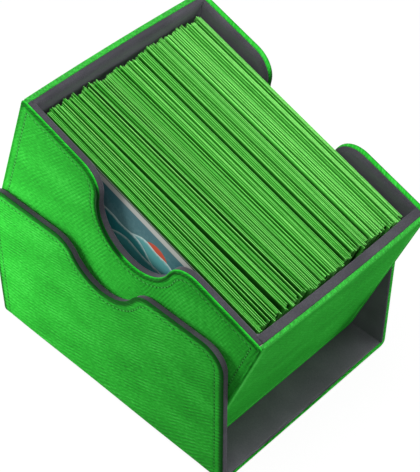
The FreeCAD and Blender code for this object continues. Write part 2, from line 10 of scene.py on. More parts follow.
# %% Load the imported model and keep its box
import json
import math
from collections import namedtuple

import bmesh
import bpy
import numpy as np
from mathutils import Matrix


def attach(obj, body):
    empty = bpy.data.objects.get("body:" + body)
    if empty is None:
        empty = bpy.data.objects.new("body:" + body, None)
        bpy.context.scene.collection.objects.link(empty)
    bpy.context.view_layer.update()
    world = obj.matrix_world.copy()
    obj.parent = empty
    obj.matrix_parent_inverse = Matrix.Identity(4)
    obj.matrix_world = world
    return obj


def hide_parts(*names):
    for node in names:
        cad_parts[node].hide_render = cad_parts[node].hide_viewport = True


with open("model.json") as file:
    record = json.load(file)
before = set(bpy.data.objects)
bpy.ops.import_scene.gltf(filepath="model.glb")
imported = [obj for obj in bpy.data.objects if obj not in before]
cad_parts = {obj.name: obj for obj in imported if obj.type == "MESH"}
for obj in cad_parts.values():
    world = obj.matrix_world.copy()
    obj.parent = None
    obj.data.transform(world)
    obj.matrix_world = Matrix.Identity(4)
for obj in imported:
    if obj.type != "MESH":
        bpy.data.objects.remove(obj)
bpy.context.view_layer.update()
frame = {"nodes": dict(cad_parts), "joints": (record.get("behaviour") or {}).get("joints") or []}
MM = 0.001

# %% [markdown]
# ## The camera
#
# The photograph looks down on the near corner, half from the front and half from the open end. Its
# viewpoint was found by fitting the box's edges to the picture, so the camera is written as the numbers
# of that fit: where it stands, how far it looks round and down, and its focal length in pixels.

# %% Camera
CAMERA_PLACE = (0.2323, -0.2318, 0.3797)
CAMERA_AZIMUTH = 44.04
CAMERA_ELEVATION = 45.556
FOCAL_PIXELS = 1444.0
PHOTO_HEIGHT_PIXELS = 472
SENSOR_MM = 36.0

camera_data = bpy.data.cameras.new("camera")
camera_data.sensor_width = SENSOR_MM
camera_data.lens = FOCAL_PIXELS * SENSOR_MM / PHOTO_HEIGHT_PIXELS
camera = bpy.data.objects.new("camera", camera_data)
camera.location = CAMERA_PLACE
camera.rotation_euler = (math.radians(90 - CAMERA_ELEVATION), 0, math.radians(CAMERA_AZIMUTH))
bpy.context.scene.collection.objects.link(camera)
bpy.context.scene.camera = camera
print(f"camera lens {camera_data.lens:.1f} mm")

# %% [markdown]
# ## Sizes from the frame
#
# The cover stands square in the frame, so a node's box gives its sizes directly. The tray leans: the
# direction in which the cards lift out is the tray's own upright, so turning the points of a node by it
# gives boxes in the tray's frame, whose origin is the middle of the tray's underside. Pieces of the
# tray are worked out there and leaned at the end.

# %% Boxes of the nodes, in the cover's frame and in the tray's
def node_points(name):
    """The vertices of a CAD node as an array of rows."""
    vertices = frame["nodes"][name].data.vertices
    flat = np.empty(len(vertices) * 3)
    vertices.foreach_get("co", flat)
    return flat.reshape(-1, 3)


lift = next(joint["axis"] for joint in frame["joints"] if joint["name"] == "deck_lift")
tray_up = np.array(lift) / np.linalg.norm(lift)
TRAY_AXES = np.array([(tray_up[2], 0, -tray_up[0]), (0, 1, 0), tray_up])
turned_skin = node_points("tray_outer_skin") @ TRAY_AXES.T
TRAY_ORIGIN = (turned_skin.min(axis=0) + turned_skin.max(axis=0)) / 2
TRAY_ORIGIN[2] = turned_skin[:, 2].min()

Box = namedtuple("Box", "low high")


def cover_box(name):
    """Lowest and highest corner of a node in the cover's frame."""
    points = node_points(name)
    return Box(points.min(axis=0), points.max(axis=0))


def tray_box(name):
    """Lowest and highest corner of a node in the tray's frame."""
    points = node_points(name) @ TRAY_AXES.T - TRAY_ORIGIN
    return Box(points.min(axis=0), points.max(axis=0))


def lean(points):
    """A point of the tray's frame: moved to the tray's origin, then turned to lean with it."""
    return (points + TRAY_ORIGIN) @ TRAY_AXES


def leaned(place):
    """A placing function whose points then lean with the tray."""
    return lambda points: lean(place(points))


cover = cover_box("cover_outer_skin")
cover_lining = cover_box("cover_front_lining")
tray = tray_box("tray_outer_skin")
tray_lining = tray_box("tray_front_lining")
tilt = math.degrees(math.atan2(tray_up[0], tray_up[2]))
for name, box in (("cover", cover), ("tray", tray)):
    print(f"{name} {np.round((box.high - box.low) / MM, 1)} mm")
print(f"the tray leans {tilt:.1f} degrees")

# %% [markdown]
# ## The wave edge
#
# The front and back panels share one outline: straight, over a round shoulder, down through a thumb
# notch, and up again. It is made of straight runs and tangent arcs. Such an outline can be moved into
# the panel by any inset: a run moves, a shoulder or corner gets a smaller radius and the notch a larger
# one. So one function gives the edge, the roll of the fabric beside it, and the line of the seam.

# %% Outline of a wave edge at any inset
Wave = namedtuple("Wave", "left right top middle notch_z notch shoulder corner")
NOTCH_RADIUS = 15.2 * MM
SHOULDER_RADIUS = 9.5 * MM
TRAY_NOTCH_DEPTH = 21.9 * MM
COVER_NOTCH_DEPTH = 11.7 * MM
COVER_CORNER_RADIUS = 8.5 * MM
TRAY_CORNER_RADIUS = 1.1 * MM
CORNER_STEPS = 9
RUN_STEPS = 18
SHOULDER_STEPS = 14
NOTCH_STEPS = 32


def straight(start, end, level, steps):
    """A run at a level, from start to end, without its last point."""
    share = np.linspace(0, 1, steps, endpoint=False)
    x = start + (end - start) * share
    return x, level + np.zeros_like(x)


def arc(x, z, radius, start, end, steps):
    """A round stretch about (x, z) between two angles in degrees, without its last point."""
    angle = np.radians(np.linspace(start, end, steps, endpoint=False))
    return x + radius * np.cos(angle), z + radius * np.sin(angle)


def wave_edge(wave, inset):
    """The wave moved into the panel: one row of points for each inset, from left to right."""
    inset = np.reshape(inset, (-1, 1))
    drop = wave.notch_z - (wave.top - wave.shoulder)
    reach = math.sqrt((wave.notch + wave.shoulder) ** 2 - drop**2)
    dip = math.degrees(math.atan2(drop, reach))
    top = wave.top - inset
    shoulder_z = wave.top - wave.shoulder
    shoulder = wave.shoulder - inset
    left_x = wave.middle - reach
    right_x = wave.middle + reach
    square = np.maximum(wave.corner, inset)
    corner = square - inset
    start = wave.left + square
    end = wave.right - square
    corner_z = wave.top - square
    runs = [
        arc(start, corner_z, corner, 180, 90, CORNER_STEPS),
        straight(start, left_x, top, RUN_STEPS),
        arc(left_x, shoulder_z, shoulder, 90, dip, SHOULDER_STEPS),
        arc(wave.middle, wave.notch_z, wave.notch + inset, 180 + dip, 360 - dip, NOTCH_STEPS),
        arc(right_x, shoulder_z, shoulder, 180 - dip, 90, SHOULDER_STEPS),
        straight(right_x, end, top, RUN_STEPS),
        arc(end, corner_z, corner, 90, 0, CORNER_STEPS),
        (end + corner, corner_z),
    ]
    return np.hstack([x for x, z in runs]), np.hstack([z for x, z in runs])


cover_wave = Wave(
    left=cover.low[0],
    right=cover.high[0],
    top=cover.high[2],
    middle=(cover_box("cover_magnets").low[0] + cover_box("cover_magnets").high[0]) / 2,
    notch_z=cover.high[2] - COVER_NOTCH_DEPTH + NOTCH_RADIUS,
    notch=NOTCH_RADIUS,
    shoulder=SHOULDER_RADIUS,
    corner=COVER_CORNER_RADIUS,
)
tray_wave = cover_wave._replace(
    left=tray.low[0],
    right=tray.high[0],
    top=tray.high[2],
    middle=0.0,
    notch_z=tray.high[2] - TRAY_NOTCH_DEPTH + NOTCH_RADIUS,
    corner=TRAY_CORNER_RADIUS,
)
for name, wave in (("cover", cover_wave), ("tray", tray_wave)):
    x, z = wave_edge(wave, [0.0])
    print(f"{name} wave: {x.shape[1]} points, notch down to {z[0, len(z[0]) // 2] / MM:.1f} mm")

# %% [markdown]
# ## A padded sheet
#
# Covering and lining are sheets with a soft edge. Each is worked out flat, as a pattern: x along the
# sheet, w across it, and n the height above it. A closed ring of points follows the outline and carries
# a profile from the hidden side, round the edge, to the seam on the shown side. Two grids fill the
# ring, one on each side. A function then folds the flat pattern into its place, as a box maker folds
# the covering.

# %% Padded sheets
Profile = namedtuple("Profile", "inset rise nap lip")
Patch = namedtuple("Patch", "points nap closed")
SWAY_LENGTH = 9.1 * MM
SWAY_BEND = 15 * MM
SWAY = 1.7
SLANTED_WAVES = ((0.6, 6.3 * MM, 0.8), (-1.3, 13.7 * MM, 2.1))
RIPPLE_FADE = 6 * MM
DENT_DEPTH = 0.2 * MM
RELIEF_REACH = 2.2 * MM
HEM_STEPS = 5
LIP_STEPS = 9
FLAT_STEPS = 34
ROUND_STEPS = 8
FADE_STEPS = 8
LIP_LEFT = 0.25


def lanes(start, end, stops, counts):
    """Rows between two edges: even steps from each stop to the next, one count for each stretch."""
    marks = [start] + [stop + 0 * start for stop in stops] + [end]
    rows = []
    for first, second, count in zip(marks, marks[1:], counts):
        share = np.linspace(0, 1, count, endpoint=False).reshape(-1, *[1] * first.ndim)
        rows.append(first + (second - first) * share)
    return np.concatenate(rows + [end[None]])


def ripple(x, w):
    """A slow unevenness from -1 to 1: the mean of one wave that sways and of two that run aslant."""
    waves = np.sin(x / SWAY_LENGTH + SWAY * np.sin(w / SWAY_BEND))
    for slant, length, start in SLANTED_WAVES:
        waves = waves + np.sin((w + slant * x) / length + start)
    return waves / (1 + len(SLANTED_WAVES))


def padded_sheet(edge, far, profile, stops=(), counts=(24,), unevenness=0.0, side_relief=1.0):
    """The three patches of a sheet: the ring with the profile, the shown face and the hidden face.

    edge(inset) gives the near edge from left to right, far(inset, x, w) the w of the far edge under
    the same x. Between them run straight lanes, so the faces and the ring share their points. On the two
    sides the dents and the nap, on a covering its painted light and shade, may be weaker, by the side
    relief.
    """
    inset, rise, nap = (np.asarray(values) for values in profile[:3])
    x, w = edge(inset)
    end = far(inset.reshape(-1, 1), x, w)
    rows = lanes(w, end, stops, counts)
    side = np.ones((1, len(rows) - 2))
    loop_x = np.hstack([x, x[:, -1:] * side, x[:, ::-1], x[:, :1] * side])
    loop_w = np.hstack([w, rows[1:-1, :, -1].T, end[:, ::-1], rows[-2:0:-1, :, 0].T])
    near, beside = np.ones((1, x.shape[1])), side_relief * side
    relief = np.hstack([near, beside, near, beside])
    by_edge = np.reshape(inset < RELIEF_REACH, (-1, 1))
    past_lip = np.reshape(inset > profile.lip, (-1, 1))
    ring_rise = np.where(by_edge & past_lip, relief, 1) * rise.reshape(-1, 1)
    ring_nap = np.where(by_edge, relief, 1) * nap.reshape(-1, 1)
    ring = Patch(np.stack([loop_x, loop_w, ring_rise], axis=-1), ring_nap, True)
    faces = []
    for index, uneven in ((-1, unevenness), (0, 0.0)):
        face_w = rows[:, index]
        face_x = x[index] + 0 * face_w
        to_side = np.minimum(face_x - face_x.min(), face_x.max() - face_x)
        to_edge = np.minimum(np.abs(face_w - face_w[:1]), np.abs(face_w - face_w[-1:]))
        share = np.clip(np.minimum(to_side, to_edge) / RIPPLE_FADE, 0, 1)
        swell = uneven * ripple(face_x, face_w) * share**2 * (3 - 2 * share)
        face = np.stack([face_x, face_w, rise[index] + swell], axis=-1)
        faces.append(Patch(face, np.full(face_w.shape, nap[index], dtype=float), False))
    return [ring] + faces


def rolled_profile(thickness, lip, crest, dents, reach, hem, hem_painted_light, lip_painted_shade):
    """A sewn edge: a small quarter round behind, a quarter ellipse round the lip, then flat with dents.

    dents lists (inset, depth, width), each a bell shape: the groove beside the lip and the line of the
    seam. The nap here is painted light and shade: it goes from the hem's painted light or shade to the
    lip's painted shade, fades to 0 over two lips and is below 0, painted shade, in the dents. The finish
    makes lighter and darker colour of it.
    """
    hem_angle = np.linspace(0, math.pi / 2, HEM_STEPS)[:-1]
    angle = np.linspace(0, math.pi / 2, LIP_STEPS)
    beyond = lip + (reach - lip) * np.linspace(0, 1, FLAT_STEPS)[1:]
    fall = np.clip((beyond - lip) / lip, 0, 1)
    flat_rise = crest * (1 - fall**2 * (3 - 2 * fall))
    # Painted shade on the flat: the lip's darkening fades out beyond it, and each dent is darkened by its
    # depth.
    flat_painted_shade = LIP_LEFT * lip_painted_shade * (1 - fall) ** 2
    for place, depth, width in dents:
        bell = np.exp(-(((beyond - place) / width) ** 2))
        flat_rise = flat_rise - depth * bell
        flat_painted_shade = flat_painted_shade - bell * depth / DENT_DEPTH
    hem_inset = hem * (1 - np.sin(hem_angle))
    hem_rise = hem * (1 - np.cos(hem_angle)) - thickness
    lip_rise = (thickness - hem + crest) * np.sin(angle) - thickness + hem
    inset = np.concatenate([[reach], hem_inset, lip * (1 - np.cos(angle)), beyond])
    rise = np.concatenate([[-thickness], hem_rise, lip_rise, flat_rise])
    turned = np.sin(angle) ** 2
    # Painted light or shade on the hem, and painted shade round the lip.
    lip_shade = hem_painted_light * (1 - np.sin(angle)) ** 2 + lip_painted_shade * turned * (1 - (1 - LIP_LEFT) * turned)
    nap = np.concatenate([[0], hem_painted_light + 0 * hem_inset, lip_shade, flat_painted_shade])
    return Profile(inset, rise, nap, lip)


def turned_profile(thickness, outer_round, inner_round, reach, stretch=1.0, fade=0.0):
    """A lining turned over a board's edge: flat behind, round, flat across the edge, round, flat.

    The inner round is a quarter ellipse, taller than it is deep by the stretch. The nap falls from 1 to 0
    over the inner round or, with a fade, by the square of the share left of the round and the fade.
    """
    angle = np.linspace(0, math.pi / 2, ROUND_STEPS)
    back = outer_round * (1 - np.sin(angle)), outer_round * (1 - np.cos(angle)) - thickness
    front = stretch * inner_round * (1 - np.cos(angle)), inner_round * (np.sin(angle) - 1)
    beyond = stretch * inner_round + np.linspace(0, fade, FADE_STEPS)[1:] if fade else np.empty(0)
    inset = np.concatenate([[reach], back[0], front[0], beyond, [reach]])
    rise = np.concatenate([[-thickness], back[1], front[1], 0 * beyond, [0]])
    shown = np.clip(1 - inset / (stretch * inner_round + fade), 0, 1)
    return Profile(inset, rise, shown**2 if fade else shown, reach)


print("sheet helpers ready")

# %% [markdown]
# ## Node materials
#
# Every finish is procedural. Helpers keep the node code readable: one adds a node and links or sets its
# inputs, one does arithmetic on sockets and one mixes two colours. A pattern that follows the sheet
# reads the UV map, which holds the flat pattern, so that ribs run on round a fold. A cloudy pattern
# reads Object coordinates.

# %% Node helpers
UV_SPAN = 0.1


class Finish:
    """A node material under construction: its tree, its shader and short ways to add nodes."""

    def __init__(self, name):
        self.material = bpy.data.materials.new(name)
        self.material.use_nodes = True
        self.tree = self.material.node_tree
        self.shader = self.tree.nodes["Principled BSDF"]
        coordinates = self.tree.nodes.new("ShaderNodeTexCoord")
        self.place = coordinates.outputs["Object"]
        self.pattern = coordinates.outputs["UV"]

    def put(self, socket, value):
        """Link a socket to an input, or set the input to a plain value."""
        if isinstance(value, bpy.types.NodeSocket):
            self.tree.links.new(value, socket)
        else:
            socket.default_value = value

    def add(self, kind, output, settings=(), **inputs):
        """A node with its inputs by name: gives back one of its outputs."""
        node = self.tree.nodes.new(kind)
        for key, value in dict(settings).items():
            setattr(node, key, value)
        for key, value in inputs.items():
            self.put(node.inputs[key.replace("_", " ")], value)
        return node.outputs[output]

    def sum(self, operation, first, second=0.0):
        """Arithmetic on two numbers."""
        node = self.tree.nodes.new("ShaderNodeMath")
        node.operation = operation
        self.put(node.inputs[0], first)
        self.put(node.inputs[1], second)
        return node.outputs[0]

    def total(self, start, *parts):
        """A number plus shares of others: each part is a socket and the share of it that is added."""
        for part, share in parts:
            start = self.sum("ADD", start, self.sum("MULTIPLY", part, share))
        return start

    def ramp(self, value, low, high, start=0.0, end=1.0, smooth=False):
        """From start to end while a value goes from low to high, straight or eased at both ends."""
        easing = {"interpolation_type": "SMOOTHSTEP" if smooth else "LINEAR"}
        limits = {"From_Min": low, "From_Max": high, "To_Min": start, "To_Max": end}
        return self.add("ShaderNodeMapRange", 0, easing, Value=value, **limits)

    def mix(self, share, first, second):
        """A colour between two others."""
        node = self.tree.nodes.new("ShaderNodeMix")
        node.data_type = "RGBA"
        for index, value in ((0, share), (6, first), (7, second)):
            self.put(node.inputs[index], value)
        return node.outputs[2]

    def noise(self, scale, detail=2.0, vector=None, distortion=0.0):
        """Soft noise from 0 to 1, with features of about 1 / scale metres."""
        vector = vector or self.place
        return self.add(
            "ShaderNodeTexNoise", "Fac", Vector=vector, Scale=scale, Detail=detail, Distortion=distortion
        )

    def drawn_out(self, vector, angle, factor):
        """Coordinates for a pattern drawn out by a factor, its long way turned from y by an angle."""
        settings = {"vector_type": "TEXTURE"}
        drawing = {"Rotation": (0, 0, math.radians(angle)), "Scale": (1, factor, 1)}
        return self.add("ShaderNodeMapping", 0, settings, Vector=vector, **drawing)

    def attribute(self, name):
        """A number stored on the mesh."""
        return self.add("ShaderNodeAttribute", "Fac", {"attribute_name": name})

    def ribs(self, field, wander):
        """Waves from -1 to 1 across the flat pattern, in millimetres from the middle of the base.

        The field's five numbers multiply x, h, x * x, x * h and h * h, h being the way up the sheet from the
        middle: the first two give the ribs' direction and pitch, the others let them fan out and bow.
        """
        axes = self.tree.nodes.new("ShaderNodeSeparateXYZ")
        self.put(axes.inputs[0], self.pattern)
        x = self.sum("MULTIPLY", axes.outputs[0], UV_SPAN / MM)
        h = self.sum("MULTIPLY", self.sum("ABSOLUTE", axes.outputs[1]), UV_SPAN / MM)
        squares = [self.sum("MULTIPLY", first, second) for first, second in ((x, x), (x, h), (h, h))]
        turns = [2 * math.pi * share for share in field]
        return self.sum("SINE", self.total(wander, *zip([x, h] + squares, turns)))

    def bump(self, height, depth, strength=1.0):
        """Surface relief from a height in units of depth."""
        normal = self.add("ShaderNodeBump", "Normal", Height=height, Distance=depth, Strength=strength)
        self.put(self.shader.inputs["Normal"], normal)

    def set(self, **inputs):
        """Inputs of the shader by name."""
        for key, value in inputs.items():
            self.put(self.shader.inputs[key.replace("_", " ")], value)


print("finish helpers ready")

# %% [markdown]
# ## Green brushed fabric
#
# The covering is a synthetic suede with a fine twill pressed into it: ribs in one direction, closer and
# fainter ones across them. The cloth is pulled over the board, so its ribs fan out and bow a little,
# which a field of five numbers describes. The nap lies in lighter and darker clouds where it has been
# stroked. Along the edges the colour carries painted light and shade: a painted highlight along the
# tray's hem, painted shade in the dents and on the lips, going near black where the shade is deepest.
# One number, the tone, adds these up and slides the colour from deep to light green.

# %% Green covering
DEEP_GREEN = (0.004, 0.145, 0.007, 1)
LIGHT_GREEN = (0.030, 0.640, 0.038, 1)
PALE_FIBRE = (0.230, 0.850, 0.240, 1)
# Colour of the deepest painted shade on the lips.
PAINTED_SHADE_GREEN = (0.001, 0.040, 0.004, 1)
SHEEN_GREEN = (0.75, 1.0, 0.75, 1)
CLOUD_SCALE = 85.0
CLOUD_LENGTH = 2.0
PATCH_SCALE = 170.0
FIBRE_SCALE = 2400.0
FIBRE_ANGLE = -110.0
FIBRE_LENGTH = 4.0
STROKE_SCALE = 2400.0
STROKE_ANGLE = -108.0
STROKE_LENGTH = 6.0
CROSS_SHARE = 0.2
CREASE_SHARE = 0.14
EDGE_PAINTED_LIGHT_TONE = 0.36
MIDDLE_TONE = 0.16
CLOUD_TONE = 0.60
FIBRE_TONE = 0.8
WANDER_SCALE = 70.0
WANDER = 9.0
WORN_FROM = 0.35
WORN_TO = 0.65
WORN_LEAST = 0.15
PALE_FROM = 0.45
PALE_FULL = 1.05
PALE_MOST = 0.30
RIB_RELIEF = 3.5
FABRIC_RELIEF = 0.14 * MM
RIM_TONE = 1.3
RIM_SHADE = -0.2
RIM_PAINTED_SHEEN = 0.1
PAINTED_SHADE_FROM = 0.7
PAINTED_SHADE_TO = 2.2


def green_fabric(name, rib_field, cross_field, twill, strokes=0.0):
    """Covering with a given field of ribs: tone = middle + clouds + fibres + twill + nap.

    Without strokes, the nap attribute is painted light and shade along the edges: painted light above 0,
    painted shade below. With strokes, on an end wall, the nap marks a rim with light and dark strokes
    across it: its top is a little darker, with a paler painted sheen, and the tone is highest halfway
    down, by nap * (1 - nap). Where the tone is high, pale fibres show. Where the painted shade is deep
    the colour goes on to a green near black.
    """
    finish = Finish(name)
    brushed = finish.drawn_out(finish.pattern, FIBRE_ANGLE, CLOUD_LENGTH)
    clouds = finish.noise(CLOUD_SCALE * UV_SPAN, 4.0, brushed, distortion=0.3)
    lay = finish.drawn_out(finish.pattern, FIBRE_ANGLE, FIBRE_LENGTH)
    fibres = finish.noise(FIBRE_SCALE * UV_SPAN, 3.0, lay)
    worn = finish.noise(PATCH_SCALE, 2.0)
    patches = finish.ramp(worn, WORN_FROM, WORN_TO, start=WORN_LEAST)
    wander = finish.sum("MULTIPLY", finish.noise(WANDER_SCALE, 1.5), WANDER)
    ribs = finish.sum("MULTIPLY", finish.ribs(rib_field, wander), patches)
    cross = finish.sum("MULTIPLY", finish.ribs(cross_field, wander), patches)
    nap = finish.attribute("nap")
    # pressed is how deep the painted shade goes, the nap below 0; the ribs show more strongly in it.
    pressed = finish.sum("MAXIMUM", finish.sum("MULTIPLY", nap, -1.0), 0.0)
    creased = finish.sum("MULTIPLY", pressed, ribs)
    slope = finish.drawn_out(finish.place, STROKE_ANGLE, STROKE_LENGTH)
    slanted = finish.sum("SUBTRACT", finish.noise(STROKE_SCALE, 1.0, slope), 0.5)
    below_rim = finish.sum("MULTIPLY", nap, finish.sum("SUBTRACT", 1.0, nap))
    tone = finish.total(
        MIDDLE_TONE,
        (clouds, CLOUD_TONE),
        (finish.sum("SUBTRACT", fibres, 0.5), FIBRE_TONE),
        (ribs, twill),
        (creased, CREASE_SHARE),
        (cross, CROSS_SHARE * twill),
        (finish.sum("MULTIPLY", slanted, nap), strokes),
        (below_rim, RIM_TONE if strokes else 0.0),
        (nap, RIM_SHADE if strokes else EDGE_PAINTED_LIGHT_TONE),
    )
    pale = finish.ramp(tone, PALE_FROM, PALE_FULL, end=PALE_MOST, smooth=True)
    # On a rim the pale share grows towards its top: a painted sheen.
    if strokes:
        pale = finish.total(pale, (nap, RIM_PAINTED_SHEEN))
    green = finish.mix(tone, DEEP_GREEN, LIGHT_GREEN)
    # Where the painted shade is deep the colour goes on to a green near black.
    flattened = finish.ramp(nap, -PAINTED_SHADE_FROM, -PAINTED_SHADE_TO)
    green = finish.mix(flattened, green, PAINTED_SHADE_GREEN)
    finish.set(Base_Color=finish.mix(pale, green, PALE_FIBRE), Roughness=0.9)
    finish.set(Sheen_Weight=0.04, Sheen_Roughness=0.45, Sheen_Tint=SHEEN_GREEN, Specular_IOR_Level=0.04)
    finish.bump(finish.total(fibres, (ribs, RIB_RELIEF * twill)), FABRIC_RELIEF, 0.7)
    return finish.material


COVER_RIBS = (0.2146, -0.3116, 0.001865, 0.0, -0.002568)
COVER_CROSS = (1.04, 0.84)
TRAY_RIBS = (0.5334, 0.3612, 0.000832, 0.004017, -0.003442)
TRAY_CROSS = (0.41, 1.27)
END_RIBS = (0.70, 0.58)
END_CROSS = (0.46, 1.25)
cover_fabric = green_fabric("cover_green_fabric", COVER_RIBS, COVER_CROSS, 0.14)
tray_fabric = green_fabric("tray_green_fabric", TRAY_RIBS, TRAY_CROSS, 0.08)
end_fabric = green_fabric("end_wall_green_fabric", END_RIBS, END_CROSS, 0.03, strokes=1.3)
print("green fabrics:", cover_fabric.name, tray_fabric.name, end_fabric.name)

# %% [markdown]
# ## Charcoal lining
#
# The lining is a smooth microfibre, almost black, a little violet. Its nap is paler where it has been
# rubbed and deeper where it is pressed flat over the edge of a board.

# %% Charcoal lining
CHARCOAL = (0.036, 0.035, 0.042, 1)
RUBBED_CHARCOAL = (0.225, 0.214, 0.252, 1)
SHEEN_GREY = (0.85, 0.85, 1.0, 1)
LINING_CLOUD_SCALE = 48.0
LINING_FIBRE_SCALE = 2600.0
LINING_CLOUD_TONE = 0.5
LINING_FIBRE_TONE = 0.3
LINING_EDGE_TONE = -0.36


def charcoal_lining(name):
    """Microfibre: tone = slow clouds + fine fibres - the pressed edges."""
    finish = Finish(name)
    clouds = finish.noise(LINING_CLOUD_SCALE, 2.0, distortion=0.8)
    fibres = finish.noise(LINING_FIBRE_SCALE, 2.0)
    edges = finish.attribute("nap")
    tone = finish.sum("MULTIPLY", clouds, LINING_CLOUD_TONE)
    tone = finish.total(tone, (fibres, LINING_FIBRE_TONE), (edges, LINING_EDGE_TONE))
    finish.set(Base_Color=finish.mix(tone, CHARCOAL, RUBBED_CHARCOAL), Roughness=0.85)
    finish.set(Sheen_Weight=0.12, Sheen_Roughness=0.4, Sheen_Tint=SHEEN_GREY, Specular_IOR_Level=0.2)
    finish.bump(fibres, 0.08 * MM, 0.6)
    return finish.material


lining_fabric = charcoal_lining("charcoal_microfibre")
print("lining:", lining_fabric.name)

# %% [markdown]
# ## From patches to a piece
#
# A piece is a list of patches, each a grid of points. The grids meet along their borders, so the mesh
# is joined by merging points that coincide. The closed shell then has its normals recalculated, once,
# so that all faces point outwards.

# %% Meshes from patches
MERGE_DISTANCE = 0.002 * MM
SHARP_ANGLE = math.radians(55)
RIM_SLANT = 1.2


def make_piece(name, patches, place, finish, body, replaced=(), slant=0.0):
    """Join patches into one mesh object at the origin that rides on a body and stands for CAD nodes.

    The UV map is the flat pattern. A slant shears it by the height, so that ribs cross a rim aslant.
    """
    points, quads, flat, naps = [], [], [], []
    count = 0
    for patch in patches:
        rows, columns = patch.nap.shape
        index = count + np.arange(rows * columns).reshape(rows, columns)
        count += rows * columns
        if patch.closed:
            index = np.hstack([index, index[:, :1]])
        corners = [index[:-1, :-1], index[:-1, 1:], index[1:, 1:], index[1:, :-1]]
        quads.append(np.stack(corners, axis=-1).reshape(-1, 4))
        points.append(place(patch.points).reshape(-1, 3))
        x, w, n = patch.points.reshape(-1, 3).T
        flat.append(np.stack([x + slant * n, w], axis=-1) / UV_SPAN)
        naps.append(patch.nap.reshape(-1))
    quads = np.concatenate(quads)
    mesh = bpy.data.meshes.new(name)
    mesh.from_pydata(np.concatenate(points), [], quads.tolist())
    pattern = np.concatenate(flat)[quads.reshape(-1)]
    mesh.uv_layers.new(name="pattern").data.foreach_set("uv", pattern.reshape(-1))
    nap = mesh.attributes.new("nap", "FLOAT", "POINT")
    nap.data.foreach_set("value", np.concatenate(naps))
    shell = bmesh.new()
    shell.from_mesh(mesh)
    bmesh.ops.remove_doubles(shell, verts=shell.verts, dist=MERGE_DISTANCE)
    bmesh.ops.recalc_face_normals(shell, faces=shell.faces)
    loose = sum(not edge.is_manifold for edge in shell.edges)
    shell.to_mesh(mesh)
    shell.free()
    mesh.shade_smooth()
    mesh.set_sharp_from_angle(angle=SHARP_ANGLE)
    mesh.materials.append(finish)
    piece = bpy.data.objects.new(name, mesh)
    bpy.context.scene.collection.objects.link(piece)
    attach(piece, body)
    if replaced:
        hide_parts(*replaced)
    print(f"{name}: {len(mesh.polygons)} faces, {loose} open edges")


# %% [markdown]
# ## The green coverings
#
# Each half is wrapped in one sheet that runs up the front, under the base and up the back. Worked out
# flat, it has a wave at both ends; folding turns it about the two lower bends. Along its whole outline
# the fabric is rolled over and sewn down, which gives the soft round edge and the shallow seam beside
# it.

# %% Folded coverings
def folded(side, bend):
    """Fold a pattern into a U: flat base, two quarter bends of a radius, two upright sides."""
    base = side - bend
    turn = bend * math.pi / 2

    def place(points):
        x, w, n = np.moveaxis(points, -1, 0)
        across = np.abs(w)
        angle = np.clip((across - base) / bend, 0, math.pi / 2)
        y = np.minimum(across, base) + (bend + n) * np.sin(angle)
        z = bend - (bend + n) * np.cos(angle) + np.maximum(across - base - turn, 0)
        return np.stack([x, np.sign(w) * y, z], axis=-1)

    return place, base, turn


BASE_HEM_REACH = 0.55 * MM
BASE_HEM_FADE = 2.0 * MM
AWAY_REACH = 1.7 * MM
AWAY_FADE = 2.0 * MM
AWAY_FROM = 0.72
AWAY_FULL = 0.97
AWAY_GAIN = 6.0
LIP_START = 5
BASE_PAINTED_LIGHT_SHARE = -0.15


